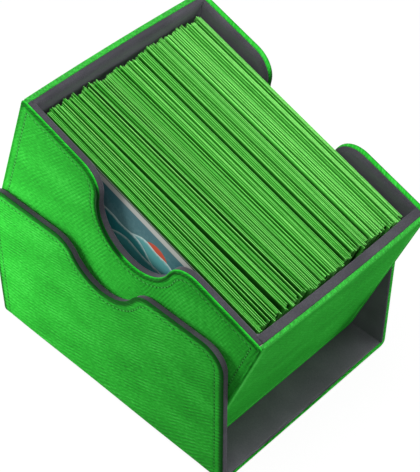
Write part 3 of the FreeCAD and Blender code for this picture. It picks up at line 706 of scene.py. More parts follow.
def covering(wave, side, bend, profile, unevenness, side_relief, away_painted_shade, back_more=0.0, base_hem=0.0):
    """Patches of a U-shaped covering and the function that folds them.

    Its rolled edge may be thicker at the back: there the inner side is pushed in by back_more, a point
    between the sides by the square of its depth. At the ends of the base the hem stands up by the base
    hem, which falls off evenly within the hem's reach. What would bulge below the table is flattened.
    Where the wave faces the open end, away from the key softbox, painted shade of a given amount darkens
    its edge: on a shoulder only where it faces the end squarely, in the notch also where it faces it
    aslant. Round the base and up the ends of the back, the edge's painted light and shade is replaced by a
    small share of it with its sign turned, which mostly lightens that edge a little.
    """
    fold, base, turn = folded(side, bend)
    wrap = -profile.rise.min()

    def place(points):
        x, w, n = np.moveaxis(points, -1, 0)
        to_back = np.clip(w / base, 0, 1)
        from_end = np.minimum(x - wave.left, wave.right - x)
        on_base = np.clip((base - np.abs(w)) / BASE_HEM_FADE, 0, 1)
        stands = base_hem * on_base * np.clip(1 - from_end / BASE_HEM_REACH, 0, 1)
        deeper = (back_more * to_back + stands) * (np.minimum(n, 0) / wrap) ** 2
        put = fold(np.stack([x, w, n - deeper], axis=-1))
        put[..., 2] = np.maximum(put[..., 2], 0)
        return put

    def front_edge(inset):
        x, z = wave_edge(wave, inset)
        return x, bend - z - base - turn

    patches = padded_sheet(
        front_edge,
        lambda inset, x, w: -w,
        profile,
        stops=(-base - turn, -base, base, base + turn),
        counts=(22, 7, 16, 7, 22),
        unevenness=unevenness,
        side_relief=side_relief,
    )
    ring = patches[0]
    edge = ring.points[LIP_START, :, :2]
    # Painted shade where the edge faces away from the key softbox, towards the open end.
    along = np.roll(edge, -1, axis=0) - np.roll(edge, 1, axis=0)
    along = along / np.linalg.norm(along, axis=-1, keepdims=True)
    inward = ring.points[-1, :, :2] - edge
    facing = -np.sign(inward[:, 0] * along[:, 1] - inward[:, 1] * along[:, 0]) * along[:, 1]
    on_shoulder = np.clip((facing - AWAY_FROM) / (AWAY_FULL - AWAY_FROM), 0, 1)
    in_notch = np.clip(AWAY_GAIN * facing * np.abs(along[:, 0]), 0, 1)
    rise = (wave.notch_z - wave.top + wave.shoulder) / (wave.notch + wave.shoulder)
    depth = np.abs(edge[:, 1]).max() - np.abs(edge[:, 1])
    away = np.where(depth > wave.shoulder * (1 - rise), in_notch, on_shoulder)
    away = away * np.clip((wave.right - edge[:, 0]) / AWAY_FADE, 0, 1)
    near_edge = np.clip(1 - profile.inset / AWAY_REACH, 0, 1).reshape(-1, 1)
    nap = ring.nap - away_painted_shade * away * near_edge
    # Round the base and up the back's ends the painted light and shade turns into a small share of it with
    # its sign turned.
    below = np.abs(ring.points[..., 1]) < base
    from_end = np.minimum(edge[:, 0] - wave.left, wave.right - edge[:, 0])
    back_end = np.clip(1 - from_end / wave.corner, 0, 1) * (ring.points[..., 1] > 0)
    brushed = np.maximum(below, back_end)
    patches[0] = ring._replace(nap=brushed * BASE_PAINTED_LIGHT_SHARE * ring.nap + (1 - brushed) * nap)
    return patches, place


# %% The cover's covering
BASE_HEM = 0.6 * MM
EDGE_WRAP = 0.50 * MM
BACK_WRAP = 1.55 * MM
cover_skin = cover_lining.low[1] - cover.low[1]
cover_wall = cover_lining.high[1] - cover.low[1]
cover_seam = 3.4 * MM
cover_dents = [(cover_seam, 0.10 * MM, 0.4 * MM)]
# Painted shade on the cover's hem and lip, darkest at the very edge, and in the seam's dent.
cover_edge = rolled_profile(
    EDGE_WRAP,
    lip=1.2 * MM,
    crest=0.02 * MM,
    dents=cover_dents,
    reach=6.2 * MM,
    hem=0.2 * MM,
    hem_painted_light=-2.6,
    lip_painted_shade=-5.0,
)
patches, fold_cover = covering(
    cover_wave,
    cover.high[1],
    cover_wall,
    cover_edge,
    unevenness=0.10 * MM,
    side_relief=1.0,
    away_painted_shade=0.4,
    back_more=BACK_WRAP - EDGE_WRAP,
    base_hem=BASE_HEM,
)
replaced = ["cover_outer_skin"]
make_piece("cover_covering", patches, fold_cover, cover_fabric, "cover", replaced, RIM_SLANT)

# %% The tray's covering
TRAY_EDGE_WRAP = 1.0 * MM
TRAY_BACK_WRAP = 1.75 * MM
tray_skin = tray_lining.low[1] - tray.low[1]
tray_wall = tray_lining.high[1] - tray.low[1]
tray_seam = 3.1 * MM
tray_dents = [(1.15 * MM, 0.24 * MM, 0.5 * MM), (tray_seam, 0.08 * MM, 0.4 * MM)]
# A painted highlight along the tray's hem; painted shade on its lip, in the groove and along the seam.
tray_edge = rolled_profile(
    TRAY_EDGE_WRAP,
    lip=0.55 * MM,
    crest=0.04 * MM,
    dents=tray_dents,
    reach=5.8 * MM,
    hem=0.35 * MM,
    hem_painted_light=0.25,
    lip_painted_shade=-3.4,
)
patches, fold_tray = covering(
    tray_wave,
    tray.high[1],
    tray_wall,
    tray_edge,
    unevenness=0.08 * MM,
    side_relief=0.3,
    away_painted_shade=2.2,
    back_more=TRAY_BACK_WRAP - TRAY_EDGE_WRAP,
)
place = leaned(fold_tray)
make_piece("tray_covering", patches, place, tray_fabric, "tray", ["tray_outer_skin"], RIM_SLANT)

# %% [markdown]
# ## The dark linings
#
# A panel's lining is a slab that fills the panel behind the covering: flat behind, round where it turns
# over the board's edge, and smooth inside. From above its edge shows as the dark band beside the green
# roll. Floors and end walls are slabs of the same kind with straight outlines.

# %% Linings of the panels
HIDDEN_ROUND = 0.3 * MM
PANEL_REACH = 5.5 * MM
COVER_GROOVE = 0.55 * MM
TRAY_GROOVE = 0.22 * MM
SIDE_GROOVE = 0.06 * MM
LINING_GAP = 0.03 * MM
LINING_TUCK = 0.5 * MM
LINING_SINK = 1.2 * MM
Rounding = namedtuple("Rounding", "depth stretch")
COVER_ROUND = Rounding(0.4 * MM, 1.0)
TRAY_FRONT_ROUND = Rounding(0.5 * MM, 1.0)
TRAY_BACK_ROUND = Rounding(1.15 * MM, 2.0)


def panel_lining(wave, lining, thickness, rounding, groove, facing):
    """A wave-edged slab, its shown face inwards: n runs from the covering to the inside.

    Its edge lies a groove below the covering's lip, and its foot is sunk in the floor by its rounding.
    """
    profile = turned_profile(thickness, HIDDEN_ROUND, rounding.depth, PANEL_REACH, rounding.stretch)
    bottom = lining.low[2] - min(rounding.depth * rounding.stretch, LINING_SINK)
    patches = padded_sheet(
        lambda inset: wave_edge(wave, inset + groove),
        lambda inset, x, w: bottom + inset + 0 * x,
        profile,
    )

    def place(points):
        x, z, n = np.moveaxis(points, -1, 0)
        return np.stack([x, facing * (lining.high[1] + n), z], axis=-1)

    return patches, place


cover_slabs = {"front": cover_wall - EDGE_WRAP - LINING_GAP, "back": cover_wall - BACK_WRAP - LINING_GAP}
tray_slab = tray_wall - TRAY_EDGE_WRAP - LINING_GAP
tray_back_slab = tray_wall - TRAY_BACK_WRAP - LINING_GAP
beyond = COVER_GROOVE - SIDE_GROOVE
cover_panel = cover_wave._replace(left=cover.low[0] - beyond, right=cover.high[0] + beyond)
beyond = TRAY_GROOVE + LINING_TUCK
tray_panel = tray_wave._replace(
    left=tray_lining.low[0] - beyond, right=tray_lining.high[0] + beyond, corner=0.0
)
tray_sides = {"front": (tray_slab, TRAY_FRONT_ROUND), "back": (tray_back_slab, TRAY_BACK_ROUND)}
for side, facing in (("front", 1), ("back", -1)):
    slab = cover_slabs[side]
    patches, place = panel_lining(cover_panel, cover_lining, slab, COVER_ROUND, COVER_GROOVE, facing)
    name = f"cover_{side}_lining"
    make_piece(f"{name}_cloth", patches, place, lining_fabric, "cover", [name])
    slab, rounding = tray_sides[side]
    patches, place = panel_lining(tray_panel, tray_lining, slab, rounding, TRAY_GROOVE, facing)
    name = f"tray_{side}_lining"
    make_piece(f"{name}_cloth", patches, leaned(place), lining_fabric, "tray", [name])

# %% [markdown]
# ## Floors and end walls
#
# The cover has a lined floor and one low end wall. The tray has a lined floor and two end walls, each a
# folded covering with a thick lining inside. An end wall is soft: its covering bows out a little
# between the corners that hold it.

# %% Straight-edged slabs
EDGE_STEPS = 26
FOOT_STEPS = 7


def level_edge(left, right, level, radius):
    """A straight edge from left to right at a level below the slab, with round corners of a radius."""

    def edge(inset):
        inset = np.reshape(inset, (-1, 1))
        if not radius:
            x, w = straight(left + inset, right - inset, level + inset, EDGE_STEPS)
            return np.hstack([x, right - inset]), np.hstack([w, level + inset])
        rounding = np.maximum(radius - inset, 0)
        past = np.maximum(inset - radius, 0)
        middle = level + radius + past
        start = left + np.maximum(radius, inset)
        end = right - np.maximum(radius, inset)
        low = level + radius - rounding + past
        runs = [
            arc(start, middle, rounding, 180, 270, FOOT_STEPS),
            straight(start, end, low, EDGE_STEPS),
            arc(end, middle, rounding, 270, 360, FOOT_STEPS),
            (end + rounding, middle),
        ]
        return np.hstack([x for x, w in runs]), np.hstack([w for x, w in runs])

    return edge


def straight_slab(box, profile, wider, deeper=0.0, lower=0.0, foot=0.0, unevenness=0.0):
    """A slab across a box: wider, deeper and lower than it by given lengths, with a foot of a radius."""
    top = box.high[2] - lower
    return padded_sheet(
        level_edge(box.low[1] - wider, box.high[1] + wider, box.low[2] - deeper, foot),
        lambda inset, x, w: top - inset + 0 * x,
        profile,
        unevenness=unevenness,
    )


def upright(face, facing, bow=0.0, half=1.0, height=1.0):
    """Stand a slab across the box: pattern x runs along y, w is z, and n faces along x.

    The bow pushes it out by a parabola between its sides that grows with the square of the height.
    """

    def place(points):
        y, z, n = np.moveaxis(points, -1, 0)
        swell = bow * (1 - (y / half) ** 2) * np.clip(z / height, 0, 1) ** 2
        return np.stack([face + facing * (n + swell), y, z], axis=-1)

    return place


print("slab helpers ready")

# %% Floors
END_ROUND = 0.35 * MM
END_LIMIT = 0.45
END_STEPS = 5
ACROSS_STEPS = 20


def bedded_floor(box, bend):
    """Patches of a floor that fills the folds: flat above, with quarter rounds of a radius below.

    Stations along x carry the section. At both ends it shrinks by a quarter circle, so the ends are
    round. The upper and lower sheets meet along the two long edges, and a cap closes each end.
    """
    angle = np.radians(np.linspace(90, 0, ROUND_STEPS))
    half = (box.high[1] - box.low[1]) / 2
    side = half - bend + bend * np.sin(angle)
    rise = bend * (1 - np.cos(angle))
    across = np.linspace(-side[-1], side[-1], ACROSS_STEPS)[1:-1]
    y = np.concatenate([-side, across, side[::-1]])
    low = box.low[2] + np.concatenate([rise, 0 * across, rise[::-1]])
    high = np.full_like(y, box.high[2])
    turn = np.radians(np.linspace(0, 90, END_STEPS))
    inset = END_ROUND * (1 - np.sin(turn))
    step = END_ROUND * (1 - np.cos(turn))
    x = np.concatenate([box.low[0] + step, box.high[0] - step[::-1]])
    inset = np.concatenate([inset, inset[::-1]]).reshape(-1, 1)
    sheets = []
    for sheet, sign in ((high, -1), (low, 1)):
        narrow = y * (1 - inset / half)
        level = sheet + sign * np.minimum(inset, END_LIMIT * (high - low))
        points = np.stack([x.reshape(-1, 1) + 0 * narrow, narrow, level], axis=-1)
        sheets.append(Patch(points, inset / END_ROUND + 0 * narrow, False))
    upper, lower = sheets
    caps = [np.stack([upper.points[row], lower.points[row]]) for row in (0, -1)]
    return sheets + [Patch(cap, np.zeros(cap.shape[:2]), False) for cap in caps]


FLOOR_RECESS = 0.58 * MM
floor_box = cover_box("cover_floor_lining")
floor_box.high[0] -= FLOOR_RECESS
patches = bedded_floor(floor_box, cover_wall - cover_skin)
make_piece("cover_floor_cloth", patches, np.array, lining_fabric, "cover", ["cover_floor_lining"])
patches = bedded_floor(tray_box("tray_floor_lining"), tray_wall - tray_skin)
make_piece("tray_floor_cloth", patches, lean, lining_fabric, "tray", ["tray_floor_lining"])

# %% Low end wall of the cover
end_skin = cover_box("cover_end_skin")
end_cloth = cover_box("cover_end_lining")
SIDE_GAP = 0.08 * MM
WALL_REACH = 5 * MM
end_thickness = end_skin.high[0] - end_skin.low[0]
# Painted shade on the end wall's lip and in the seam's dent.
skin_profile = rolled_profile(
    end_thickness,
    lip=0.5 * MM,
    crest=0.04 * MM,
    dents=cover_dents,
    reach=6 * MM,
    hem=0.2 * MM,
    hem_painted_light=0.0,
    lip_painted_shade=-1.0,
)
patches = straight_slab(end_skin, skin_profile, -SIDE_GAP)
place = upright(end_skin.low[0], -1)
make_piece("cover_end_covering", patches, place, cover_fabric, "cover", ["cover_end_skin"])
cloth_profile = turned_profile(end_cloth.high[0] - end_cloth.low[0], HIDDEN_ROUND, 0.5 * MM, WALL_REACH)
patches = straight_slab(end_cloth, cloth_profile, -SIDE_GAP)
place = upright(end_cloth.high[0], 1)
make_piece("cover_end_cloth", patches, place, lining_fabric, "cover", ["cover_end_lining"])

# %% End walls of the tray
END_BOW = 0.5 * MM
END_RECESS = 0.12 * MM
END_RIMS = {"left": 1.85 * MM, "right": 1.30 * MM}
END_FADE = 2.6 * MM
END_UNEVENNESS = 0.10 * MM
RIM_BACK_ROUND = 0.55 * MM
RIM_ROUND = 0.6 * MM
END_PADDING = 0.4 * MM
END_ROUNDING = 1.2 * MM
END_TUCK = 0.9 * MM
END_ROUNDS = {"left": Rounding(END_ROUNDING, 2.2), "right": Rounding(0.5 * MM, 1.0)}

end_lining = tray_box("tray_right_end_lining")
end_inside = end_lining.low[0] - END_PADDING
for side, facing in (("left", -1), ("right", 1)):
    skin = tray_box(f"tray_{side}_end_skin")
    rim = END_RIMS[side]
    rounding = END_ROUNDS[side]
    outside = tray.high[0] - END_RECESS
    place_skin = leaned(upright(facing * outside, facing, END_BOW, *skin.high[1:]))
    place_cloth = leaned(upright(facing * end_inside, -facing, -END_BOW, *skin.high[1:]))
    profile = turned_profile(rim, RIM_BACK_ROUND, RIM_ROUND, WALL_REACH, fade=END_FADE)
    foot = tray_wall - tray_skin
    patches = straight_slab(skin, profile, -SIDE_GAP, foot=foot, unevenness=END_UNEVENNESS)
    name = f"tray_{side}_end"
    replaced = [f"{name}_skin"]
    make_piece(f"{name}_covering", patches, place_skin, end_fabric, "tray", replaced, RIM_SLANT)
    thickness = outside - rim - end_inside
    profile = turned_profile(thickness, HIDDEN_ROUND, rounding.depth, WALL_REACH, rounding.stretch)
    patches = straight_slab(end_lining, profile, END_TUCK, END_ROUNDING, TRAY_GROOVE)
    make_piece(f"{name}_cloth", patches, place_cloth, lining_fabric, "tray", [f"{name}_lining"])

# %% [markdown]
# ## Soft inner corners
#
# Where two walls meet, the tray's lining bridges the corner in a small hollow round and runs out into a
# sharp corner near the rim. A bevel would round the walls themselves. A pad of its own in each corner
# leaves them as they are.

# %% Soft inner corners of the tray
PAD_RADIUS = 2.0 * MM
PAD_DEPTH = 1.5 * MM
PAD_TURNS = 9
PAD_ROWS = 7
PAD_DROPS = {(-1, -1): 3.2 * MM, (-1, 1): 3.2 * MM, (1, -1): 0.25 * MM, (1, 1): 3.2 * MM}
PAD_FADES = {(-1, -1): 10 * MM, (-1, 1): 10 * MM, (1, -1): 0.0, (1, 1): 10 * MM}


def corner_pad(inside_x, inside_y, bottom, top, fade):
    """Patches of the lining in an inner corner: a hollow quarter round, from the floor to the rim.

    A point of the round is its middle + (radius + inset) * (cos, sin). At the top the inset grows by a
    quarter circle or, with a fade, the radius shrinks over that height by the square of its share, so
    that the round runs out into the corner. Behind it, each point has a partner on the two walls.
    """
    turn = np.linspace(0, math.pi / 2, PAD_TURNS)
    share = np.linspace(0, 1, PAD_ROWS).reshape(-1, 1)
    angle = share * math.pi / 2
    radius = PAD_RADIUS * (1 - share**2) if fade else PAD_RADIUS + 0 * share
    inset = 0 * share if fade else END_ROUNDING * (1 - np.cos(angle))
    below = fade * (1 - share) if fade else END_ROUNDING * (1 - np.sin(angle))
    radius, inset = (np.concatenate([rows[:1], rows]) for rows in (radius, inset))
    z = np.concatenate([[[bottom]], top - below])
    hollow_x = inside_x - radius + (radius + inset) * np.cos(turn)
    hollow_y = inside_y - radius + (radius + inset) * np.sin(turn)
    halves = 2 * turn / (math.pi / 2)
    back_x = inside_x + PAD_DEPTH - (PAD_RADIUS + PAD_DEPTH) * np.clip(halves - 1, 0, 1)
    back_y = inside_y + PAD_DEPTH - (PAD_RADIUS + PAD_DEPTH) * np.clip(1 - halves, 0, 1)
    flat = 0 * hollow_x
    hollow = np.stack([hollow_x, hollow_y, z + flat], axis=-1)
    back = np.stack([back_x + flat, back_y + flat, z + flat], axis=-1)
    ring = np.concatenate([hollow, back[:, ::-1]], axis=1)
    caps = [np.stack([hollow[row], back[row]]) for row in (0, -1)]
    return [Patch(ring, np.zeros(ring.shape[:2]), True)] + [
        Patch(cap, np.zeros(cap.shape[:2]), False) for cap in caps
    ]


def mirrored(patches, x_sign, y_sign):
    """The same patches in another quarter of the tray."""
    signs = np.array([x_sign, y_sign, 1])
    return [patch._replace(points=patch.points * signs) for patch in patches]


pads = []
for quarter, drop in PAD_DROPS.items():
    top = end_lining.high[2] - TRAY_GROOVE - drop
    bottom = end_lining.low[2] - END_ROUNDING
    pad = corner_pad(end_inside, -tray_lining.high[1], bottom, top, PAD_FADES[quarter])
    pads += mirrored(pad, *quarter)
make_piece("tray_corner_pads", pads, lean, lining_fabric, "tray")

# %% [markdown]
# ## Stitches
#
# A row of short stitches holds the rolled edge down. Each is a flat ellipsoid of thread that lies in
# the seam's valley. The seam is the wave edge at the seam's inset, carried down both upright sides, and
# the stitches stand on it at even distances.

# %% Thread finish
# Colour of the painted shade at a stitch's ends.
THREAD_PAINTED_SHADE = (0.0, 0.006, 0.001, 1)
THREAD_LIGHT = (0.045, 0.520, 0.055, 1)
TWIST_SCALE = 3000.0
TWIST_TONE = 0.6
THREAD_SHADE = 0.35


def sewing_thread():
    """Thread: painted shade where it dives into the cloth, paler on its back, with a fine twist."""
    finish = Finish("sewing_thread")
    twist = finish.noise(TWIST_SCALE, 1.0)
    tone = finish.total(finish.attribute("nap"), (twist, TWIST_TONE))
    tone = finish.sum("SUBTRACT", tone, THREAD_SHADE)
    finish.set(Base_Color=finish.mix(tone, THREAD_PAINTED_SHADE, THREAD_LIGHT), Roughness=0.7)
    finish.set(Specular_IOR_Level=0.1)
    finish.bump(twist, 0.03 * MM, 0.5)
    return finish.material


thread = sewing_thread()
print("thread:", thread.name)

# %% Rows of stitches
STITCH_PITCH = 1.75 * MM
STITCH_LENGTH = 1.6 * MM
STITCH_WIDTH = 0.50 * MM
STITCH_HEIGHT = 0.12 * MM
STITCH_ALONG = 6
STITCH_ROUND = 7


def seam_line(wave, seam, foot):
    """The seam of a panel as points: up the left side, along the wave, down the right side."""
    x, z = (values[0] for values in wave_edge(wave, [seam]))
    x = np.concatenate([x[:1], x, x[-1:]])
    z = np.concatenate([[foot], z, [foot]])
    return x, z


def stitch_row(line, surface, facing):
    """Patches of one row: a small ellipsoid at each even distance, turned along the seam.

    A stitch is a grid of turns about its length: length * cos(a) along, width * s * cos(b) across and
    height * s * sin(b) up, where s, the fourth root of sin(a), gives it blunt ends.
    """
    x, z = line
    walked = np.concatenate([[0], np.cumsum(np.hypot(np.diff(x), np.diff(z)))])
    count = int(walked[-1] / STITCH_PITCH)
    middle = (np.arange(count) + 0.5) * walked[-1] / count
    reach = STITCH_LENGTH / 2
    ends = [np.stack([np.interp(middle + d, walked, v) for v in (x, z)]) for d in (-reach, reach)]
    along = ends[1] - ends[0]
    along /= np.linalg.norm(along, axis=0)
    centre = (ends[0] + ends[1]) / 2
    a = np.linspace(0, math.pi, STITCH_ALONG).reshape(-1, 1)
    b = np.linspace(0, 2 * math.pi, STITCH_ROUND, endpoint=False).reshape(1, -1)
    run = reach * np.cos(a) + 0 * b
    blunt = np.clip(np.sin(a), 0, 1) ** 0.25
    width = STITCH_WIDTH / 2 * blunt * np.cos(b)
    height = STITCH_HEIGHT * blunt * np.sin(b)
    # Painted shade at the stitch's ends, where the thread dives into the cloth: 1 on its back, 0 at its
    # ends.
    back = blunt**16 + 0 * b
    patches = []
    for (mx, mz), (ax, az) in zip(centre.T, along.T):
        stitch_x = mx + run * ax - width * az
        stitch_z = mz + run * az + width * ax
        points = np.stack([stitch_x, facing * (surface + height), stitch_z], axis=-1)
        patches.append(Patch(points, back, True))
    return patches


cover_depth = cover.high[1] + np.interp(
    cover_seam, cover_edge.inset[LIP_START:], cover_edge.rise[LIP_START:]
)
tray_depth = tray.high[1] + np.interp(tray_seam, tray_edge.inset[LIP_START:], tray_edge.rise[LIP_START:])
for side, facing in (("front", -1), ("back", 1)):
    line = seam_line(cover_wave, cover_seam, 2 * cover_wall)
    row = stitch_row(line, cover_depth, facing)
    make_piece(f"cover_{side}_stitches", row, np.array, thread, "cover")
    line = seam_line(tray_wave, tray_seam, 2 * tray_wall)
    row = stitch_row(line, tray_depth, facing)
    make_piece(f"tray_{side}_stitches", row, lean, thread, "tray")

# %% [markdown]
# ## Sleeved cards
#
# A hundred cards stand on their long side, each in a green plastic sleeve. A sleeve is a flat pillow,
# thick where the card is and thin along its welded edges. Cards in a box don't stand evenly: they lean
# together in bunches, with dark gaps between, and stand a little higher or further out than their
# neighbours. So the room in the row is dealt out unevenly, at each end by itself, and no two cards
# cross.

# %% Sleeve finish
SLEEVE_DEEP = (0.002, 0.030, 0.002, 1)
SLEEVE_GREEN = (0.055, 0.430, 0.035, 1)
SLEEVE_LIGHT = (0.250, 0.800, 0.170, 1)
STREAK_SCALE = 260.0
STREAK_TONE = 0.12
SLEEVE_TONE = 0.9


def sleeve_plastic():
    """Satin film: a painted highlight along the welded edges, painted shade on the faces, each sleeve in its
    own tone.
    """
    finish = Finish("sleeve_plastic")
    streaks = finish.noise(STREAK_SCALE, 2.0)
    # The nap attribute holds each sleeve's painted highlight and shade, set in sleeve().
    tone = finish.sum("MULTIPLY", finish.attribute("nap"), SLEEVE_TONE)
    tone = finish.total(tone, (streaks, STREAK_TONE))
    green = finish.mix(finish.sum("MULTIPLY", tone, 2.0), SLEEVE_DEEP, SLEEVE_GREEN)
    light = finish.sum("MULTIPLY", finish.sum("SUBTRACT", tone, 0.5), 2.0)
    finish.set(Base_Color=finish.mix(light, green, SLEEVE_LIGHT), Roughness=0.5)
    finish.set(Specular_IOR_Level=0.08)
    finish.bump(streaks, 0.05 * MM, 0.25)
    return finish.material


sleeve_film = sleeve_plastic()
print("sleeves:", sleeve_film.name)

# %% Where the cards stand
CARD_COUNT = 100
CARD_THICKNESS = 0.47 * MM
SLEEVE_WELD = 1.15 * MM
WELD_THICKNESS = 0.16 * MM
LEFT_BUNCH_ROOM = 0.42
RIGHT_BUNCH_ROOM = 0.82
LEFT_EVENNESS = 2.0
RIGHT_EVENNESS = 0.7
BUNCH_LEAST = 1
BUNCH_MOST = np.linspace(4, 8, CARD_COUNT).astype(int)
BUNCH_OPENING = np.linspace(1.0, 0.25, CARD_COUNT - 1)
# Painted shade on the sleeve faces seen in the gaps, and painted light on the slopes at the short ends and
# towards the back.
GAP_PAINTED_SHADE = 0.02
END_PAINTED_LIGHT = 0.34
BACK_TONE = 0.42
RIM_LEAST = 0.44
RIM_SPREAD = 0.50
SLOPE_LEAST = 0.06
SLOPE_SPREAD = 0.42
BACK_PAINTED_LIGHT = 0.24
SHIFT_MEAN = -0.35 * MM
SHIFT_LIMIT = 0.85 * MM
RISE_LIMIT = 0.45 * MM
SHIFT_SPREAD = (0.5 * MM, 0.36 * MM)
RISE_SPREAD = (0.18 * MM, 0.30 * MM)
OPENING_EVENNESS = 6.0
OPENING_LEAST = 0.05

first_card = tray_box("front_card")
card_row = tray_box("sleeved_cards")
chance = np.random.default_rng(31)
bunch_starts = [1]
while bunch_starts[-1] < CARD_COUNT:
    bunch_starts.append(bunch_starts[-1] + chance.integers(BUNCH_LEAST, BUNCH_MOST[bunch_starts[-1]]))
parted = np.isin(np.arange(1, CARD_COUNT), bunch_starts)
bunch = np.concatenate([[0], np.cumsum(parted)])
openness = parted * BUNCH_OPENING * chance.gamma(OPENING_EVENNESS, 1.0, CARD_COUNT - 1)


def deal_room(between_share, evenness):
    """Middles of the cards along the row: little room within a bunch, the given share between them."""
    within = chance.gamma(evenness, 1.0, CARD_COUNT - 1)
    between = openness * chance.uniform(OPENING_LEAST, 1.0, CARD_COUNT - 1)
    gaps = (1 - between_share) * within / within.sum() + between_share * between / between.sum()
    room = card_row.high[1] - first_card.low[1] - CARD_COUNT * CARD_THICKNESS
    steps = CARD_THICKNESS + gaps * room
    return first_card.low[1] + CARD_THICKNESS / 2 + np.concatenate([[0], np.cumsum(steps)])


def stray(of_bunch, own, limit):
    """How far each card strays: a share common to its bunch and a share of its own, within a limit."""
    common = chance.normal(0, of_bunch, bunch[-1] + 1)[bunch]
    strayed = np.clip(common + chance.normal(0, own, CARD_COUNT), -limit, limit)
    strayed[0] = 0
    return strayed


left_y = deal_room(LEFT_BUNCH_ROOM, LEFT_EVENNESS)
right_y = deal_room(RIGHT_BUNCH_ROOM, RIGHT_EVENNESS)
shift_x = SHIFT_MEAN + stray(*SHIFT_SPREAD, SHIFT_LIMIT)
rise_z = stray(*RISE_SPREAD, RISE_LIMIT)
tone = chance.random(CARD_COUNT)
print(f"{bunch[-1] + 1} bunches, widest gap {(np.diff(left_y).max() - CARD_THICKNESS) / MM:.2f} mm")
left_room = end_inside + first_card.low[0] + shift_x.min()
right_room = end_inside - first_card.high[0] - shift_x.max()
print(f"least room at the left end {left_room / MM:.2f} mm, at the right {right_room / MM:.2f} mm")

# %% The row of sleeves
def weld_stops(low, high):
    """Places across a sleeve: both edges, two steps of each weld, and the middle."""
    return np.array(
        [low, low + SLEEVE_WELD / 3, low + SLEEVE_WELD, (low + high) / 2]
        + [high - SLEEVE_WELD, high - SLEEVE_WELD / 3, high]
    )


def swelling(stops):
    """From 0 at both edges to 1 where the card is: the sine of the share of the weld."""
    depth = np.minimum(stops - stops[0], stops[-1] - stops) / SLEEVE_WELD
    return np.sin(np.clip(depth, 0, 1) * math.pi / 2)


sleeve_x = weld_stops(first_card.low[0], first_card.high[0])
sleeve_z = weld_stops(first_card.low[2], first_card.high[2])
full_x = swelling(sleeve_x)
full = np.minimum.outer(swelling(sleeve_z), full_x)
share_x = ((sleeve_x - sleeve_x[0]) / (sleeve_x[-1] - sleeve_x[0])).reshape(1, -1)
share_z = ((sleeve_z - sleeve_z[0]) / (sleeve_z[-1] - sleeve_z[0])).reshape(-1, 1)
half_thickness = (WELD_THICKNESS + (CARD_THICKNESS - WELD_THICKNESS) * full) / 2
last = len(sleeve_x) - 1
ahead = np.arange(last)
first_side, last_side = 0 * ahead, last + 0 * ahead
border_rows = np.concatenate([first_side, ahead, last_side, last - ahead])
border_columns = np.concatenate([ahead, last_side, last - ahead, first_side])


def sleeve(index):
    """Patches of one sleeve, as a pattern of x, z and depth: two faces and the rim that joins them."""
    x = sleeve_x.reshape(1, -1) + shift_x[index] + 0 * share_z
    z = sleeve_z.reshape(-1, 1) + rise_z[index] * share_z + 0 * share_x
    y = left_y[index] + (right_y[index] - left_y[index]) * share_x + 0 * share_z
    further = index / CARD_COUNT
    # Painted light and shade: a painted highlight on the welded rim, painted shade on the slopes and the
    # faces in the gaps, more painted light the further back a card stands, and painted light at the short
    # ends. The back face of the last sleeve keeps its own mid green.
    rim_highlight = RIM_LEAST + BACK_PAINTED_LIGHT * further + RIM_SPREAD * tone[index] ** 1.8
    slope_shade = SLOPE_LEAST + BACK_PAINTED_LIGHT * further + SLOPE_SPREAD * tone[-index] ** 1.5
    face_tones = [GAP_PAINTED_SHADE, BACK_TONE if index == CARD_COUNT - 1 else GAP_PAINTED_SHADE]
    shades = [np.interp(full, [0, 0.5, 1], [rim_highlight, slope_shade, inner]) for inner in face_tones]
    end_shade = np.interp(full_x, [0, 0.5, 1], [rim_highlight, END_PAINTED_LIGHT + slope_shade, 0])
    shades = [np.maximum(shade, end_shade) for shade in shades]
    faces = [np.stack([x, z, y + sign * half_thickness], axis=-1) for sign in (-1, 1)]
    rim = np.stack([face[border_rows, border_columns] for face in faces])
    rim_shade = np.stack([shade[border_rows, border_columns] for shade in shades])
    sides = [Patch(face, shade, False) for face, shade in zip(faces, shades)]
    return sides + [Patch(rim, rim_shade, True)]


def stand_card(points):
    """Stand a card's pattern in the tray: its depth becomes y, and the whole leans."""
    return lean(points[..., [0, 2, 1]])


patches = [patch for index in range(1, CARD_COUNT) for patch in sleeve(index)]
make_piece("card_sleeves", patches, stand_card, sleeve_film, "deck", ["sleeved_cards"])

# %% [markdown]
# ## The first card
#
# The first card shows its printed face through a clear sleeve. The print is a plain landscape of this
# script's own: a pale border, a light sky, five rows of teal hills and an orange sun. Each shape is a
# formula on the card's own coordinates, in millimetres from its middle, and a soft step makes it a
# mask.

# %% Card print
CARD_HALF_WIDTH = 44.0
CARD_HALF_HEIGHT = 32.5
PRINT_BORDER = 2.2
FILM = (0.05, 0.10, 0.05, 1)
BORDER = (0.40, 0.41, 0.38, 1)
SKY_LOW = (0.22, 0.40, 0.40, 1)
SKY_HIGH = (0.030, 0.12, 0.14, 1)
SUN = (0.50, 0.055, 0.020, 1)
CREST = (0.58, 0.70, 0.68, 1)
SUN_PLACE = (6.5, 21.0)
SUN_RADIUS = 5.5
SKY_FROM = 10.0
SKY_HEIGHT = 22.0
GRAIN_SCALE = 900.0
SKY_GRAIN = 0.4
CREST_WIDTH = 1.3
CREST_WEAR = 1.4
CREST_SOFT = 0.9
OVERTONE = 2.7
OVERTONE_SHARE = 3
HILLS = (
    (22.5, 2.0, 5.1, 0.4, (0.090, 0.34, 0.34, 1)),
    (19.0, 2.6, 6.7, 2.6, (0.020, 0.20, 0.21, 1)),
    (14.5, 3.0, 8.1, 1.2, (0.050, 0.29, 0.29, 1)),
    (9.0, 3.6, 9.7, 4.9, (0.010, 0.12, 0.13, 1)),
    (2.0, 5.0, 12.5, 4.1, (0.008, 0.045, 0.050, 1)),
)


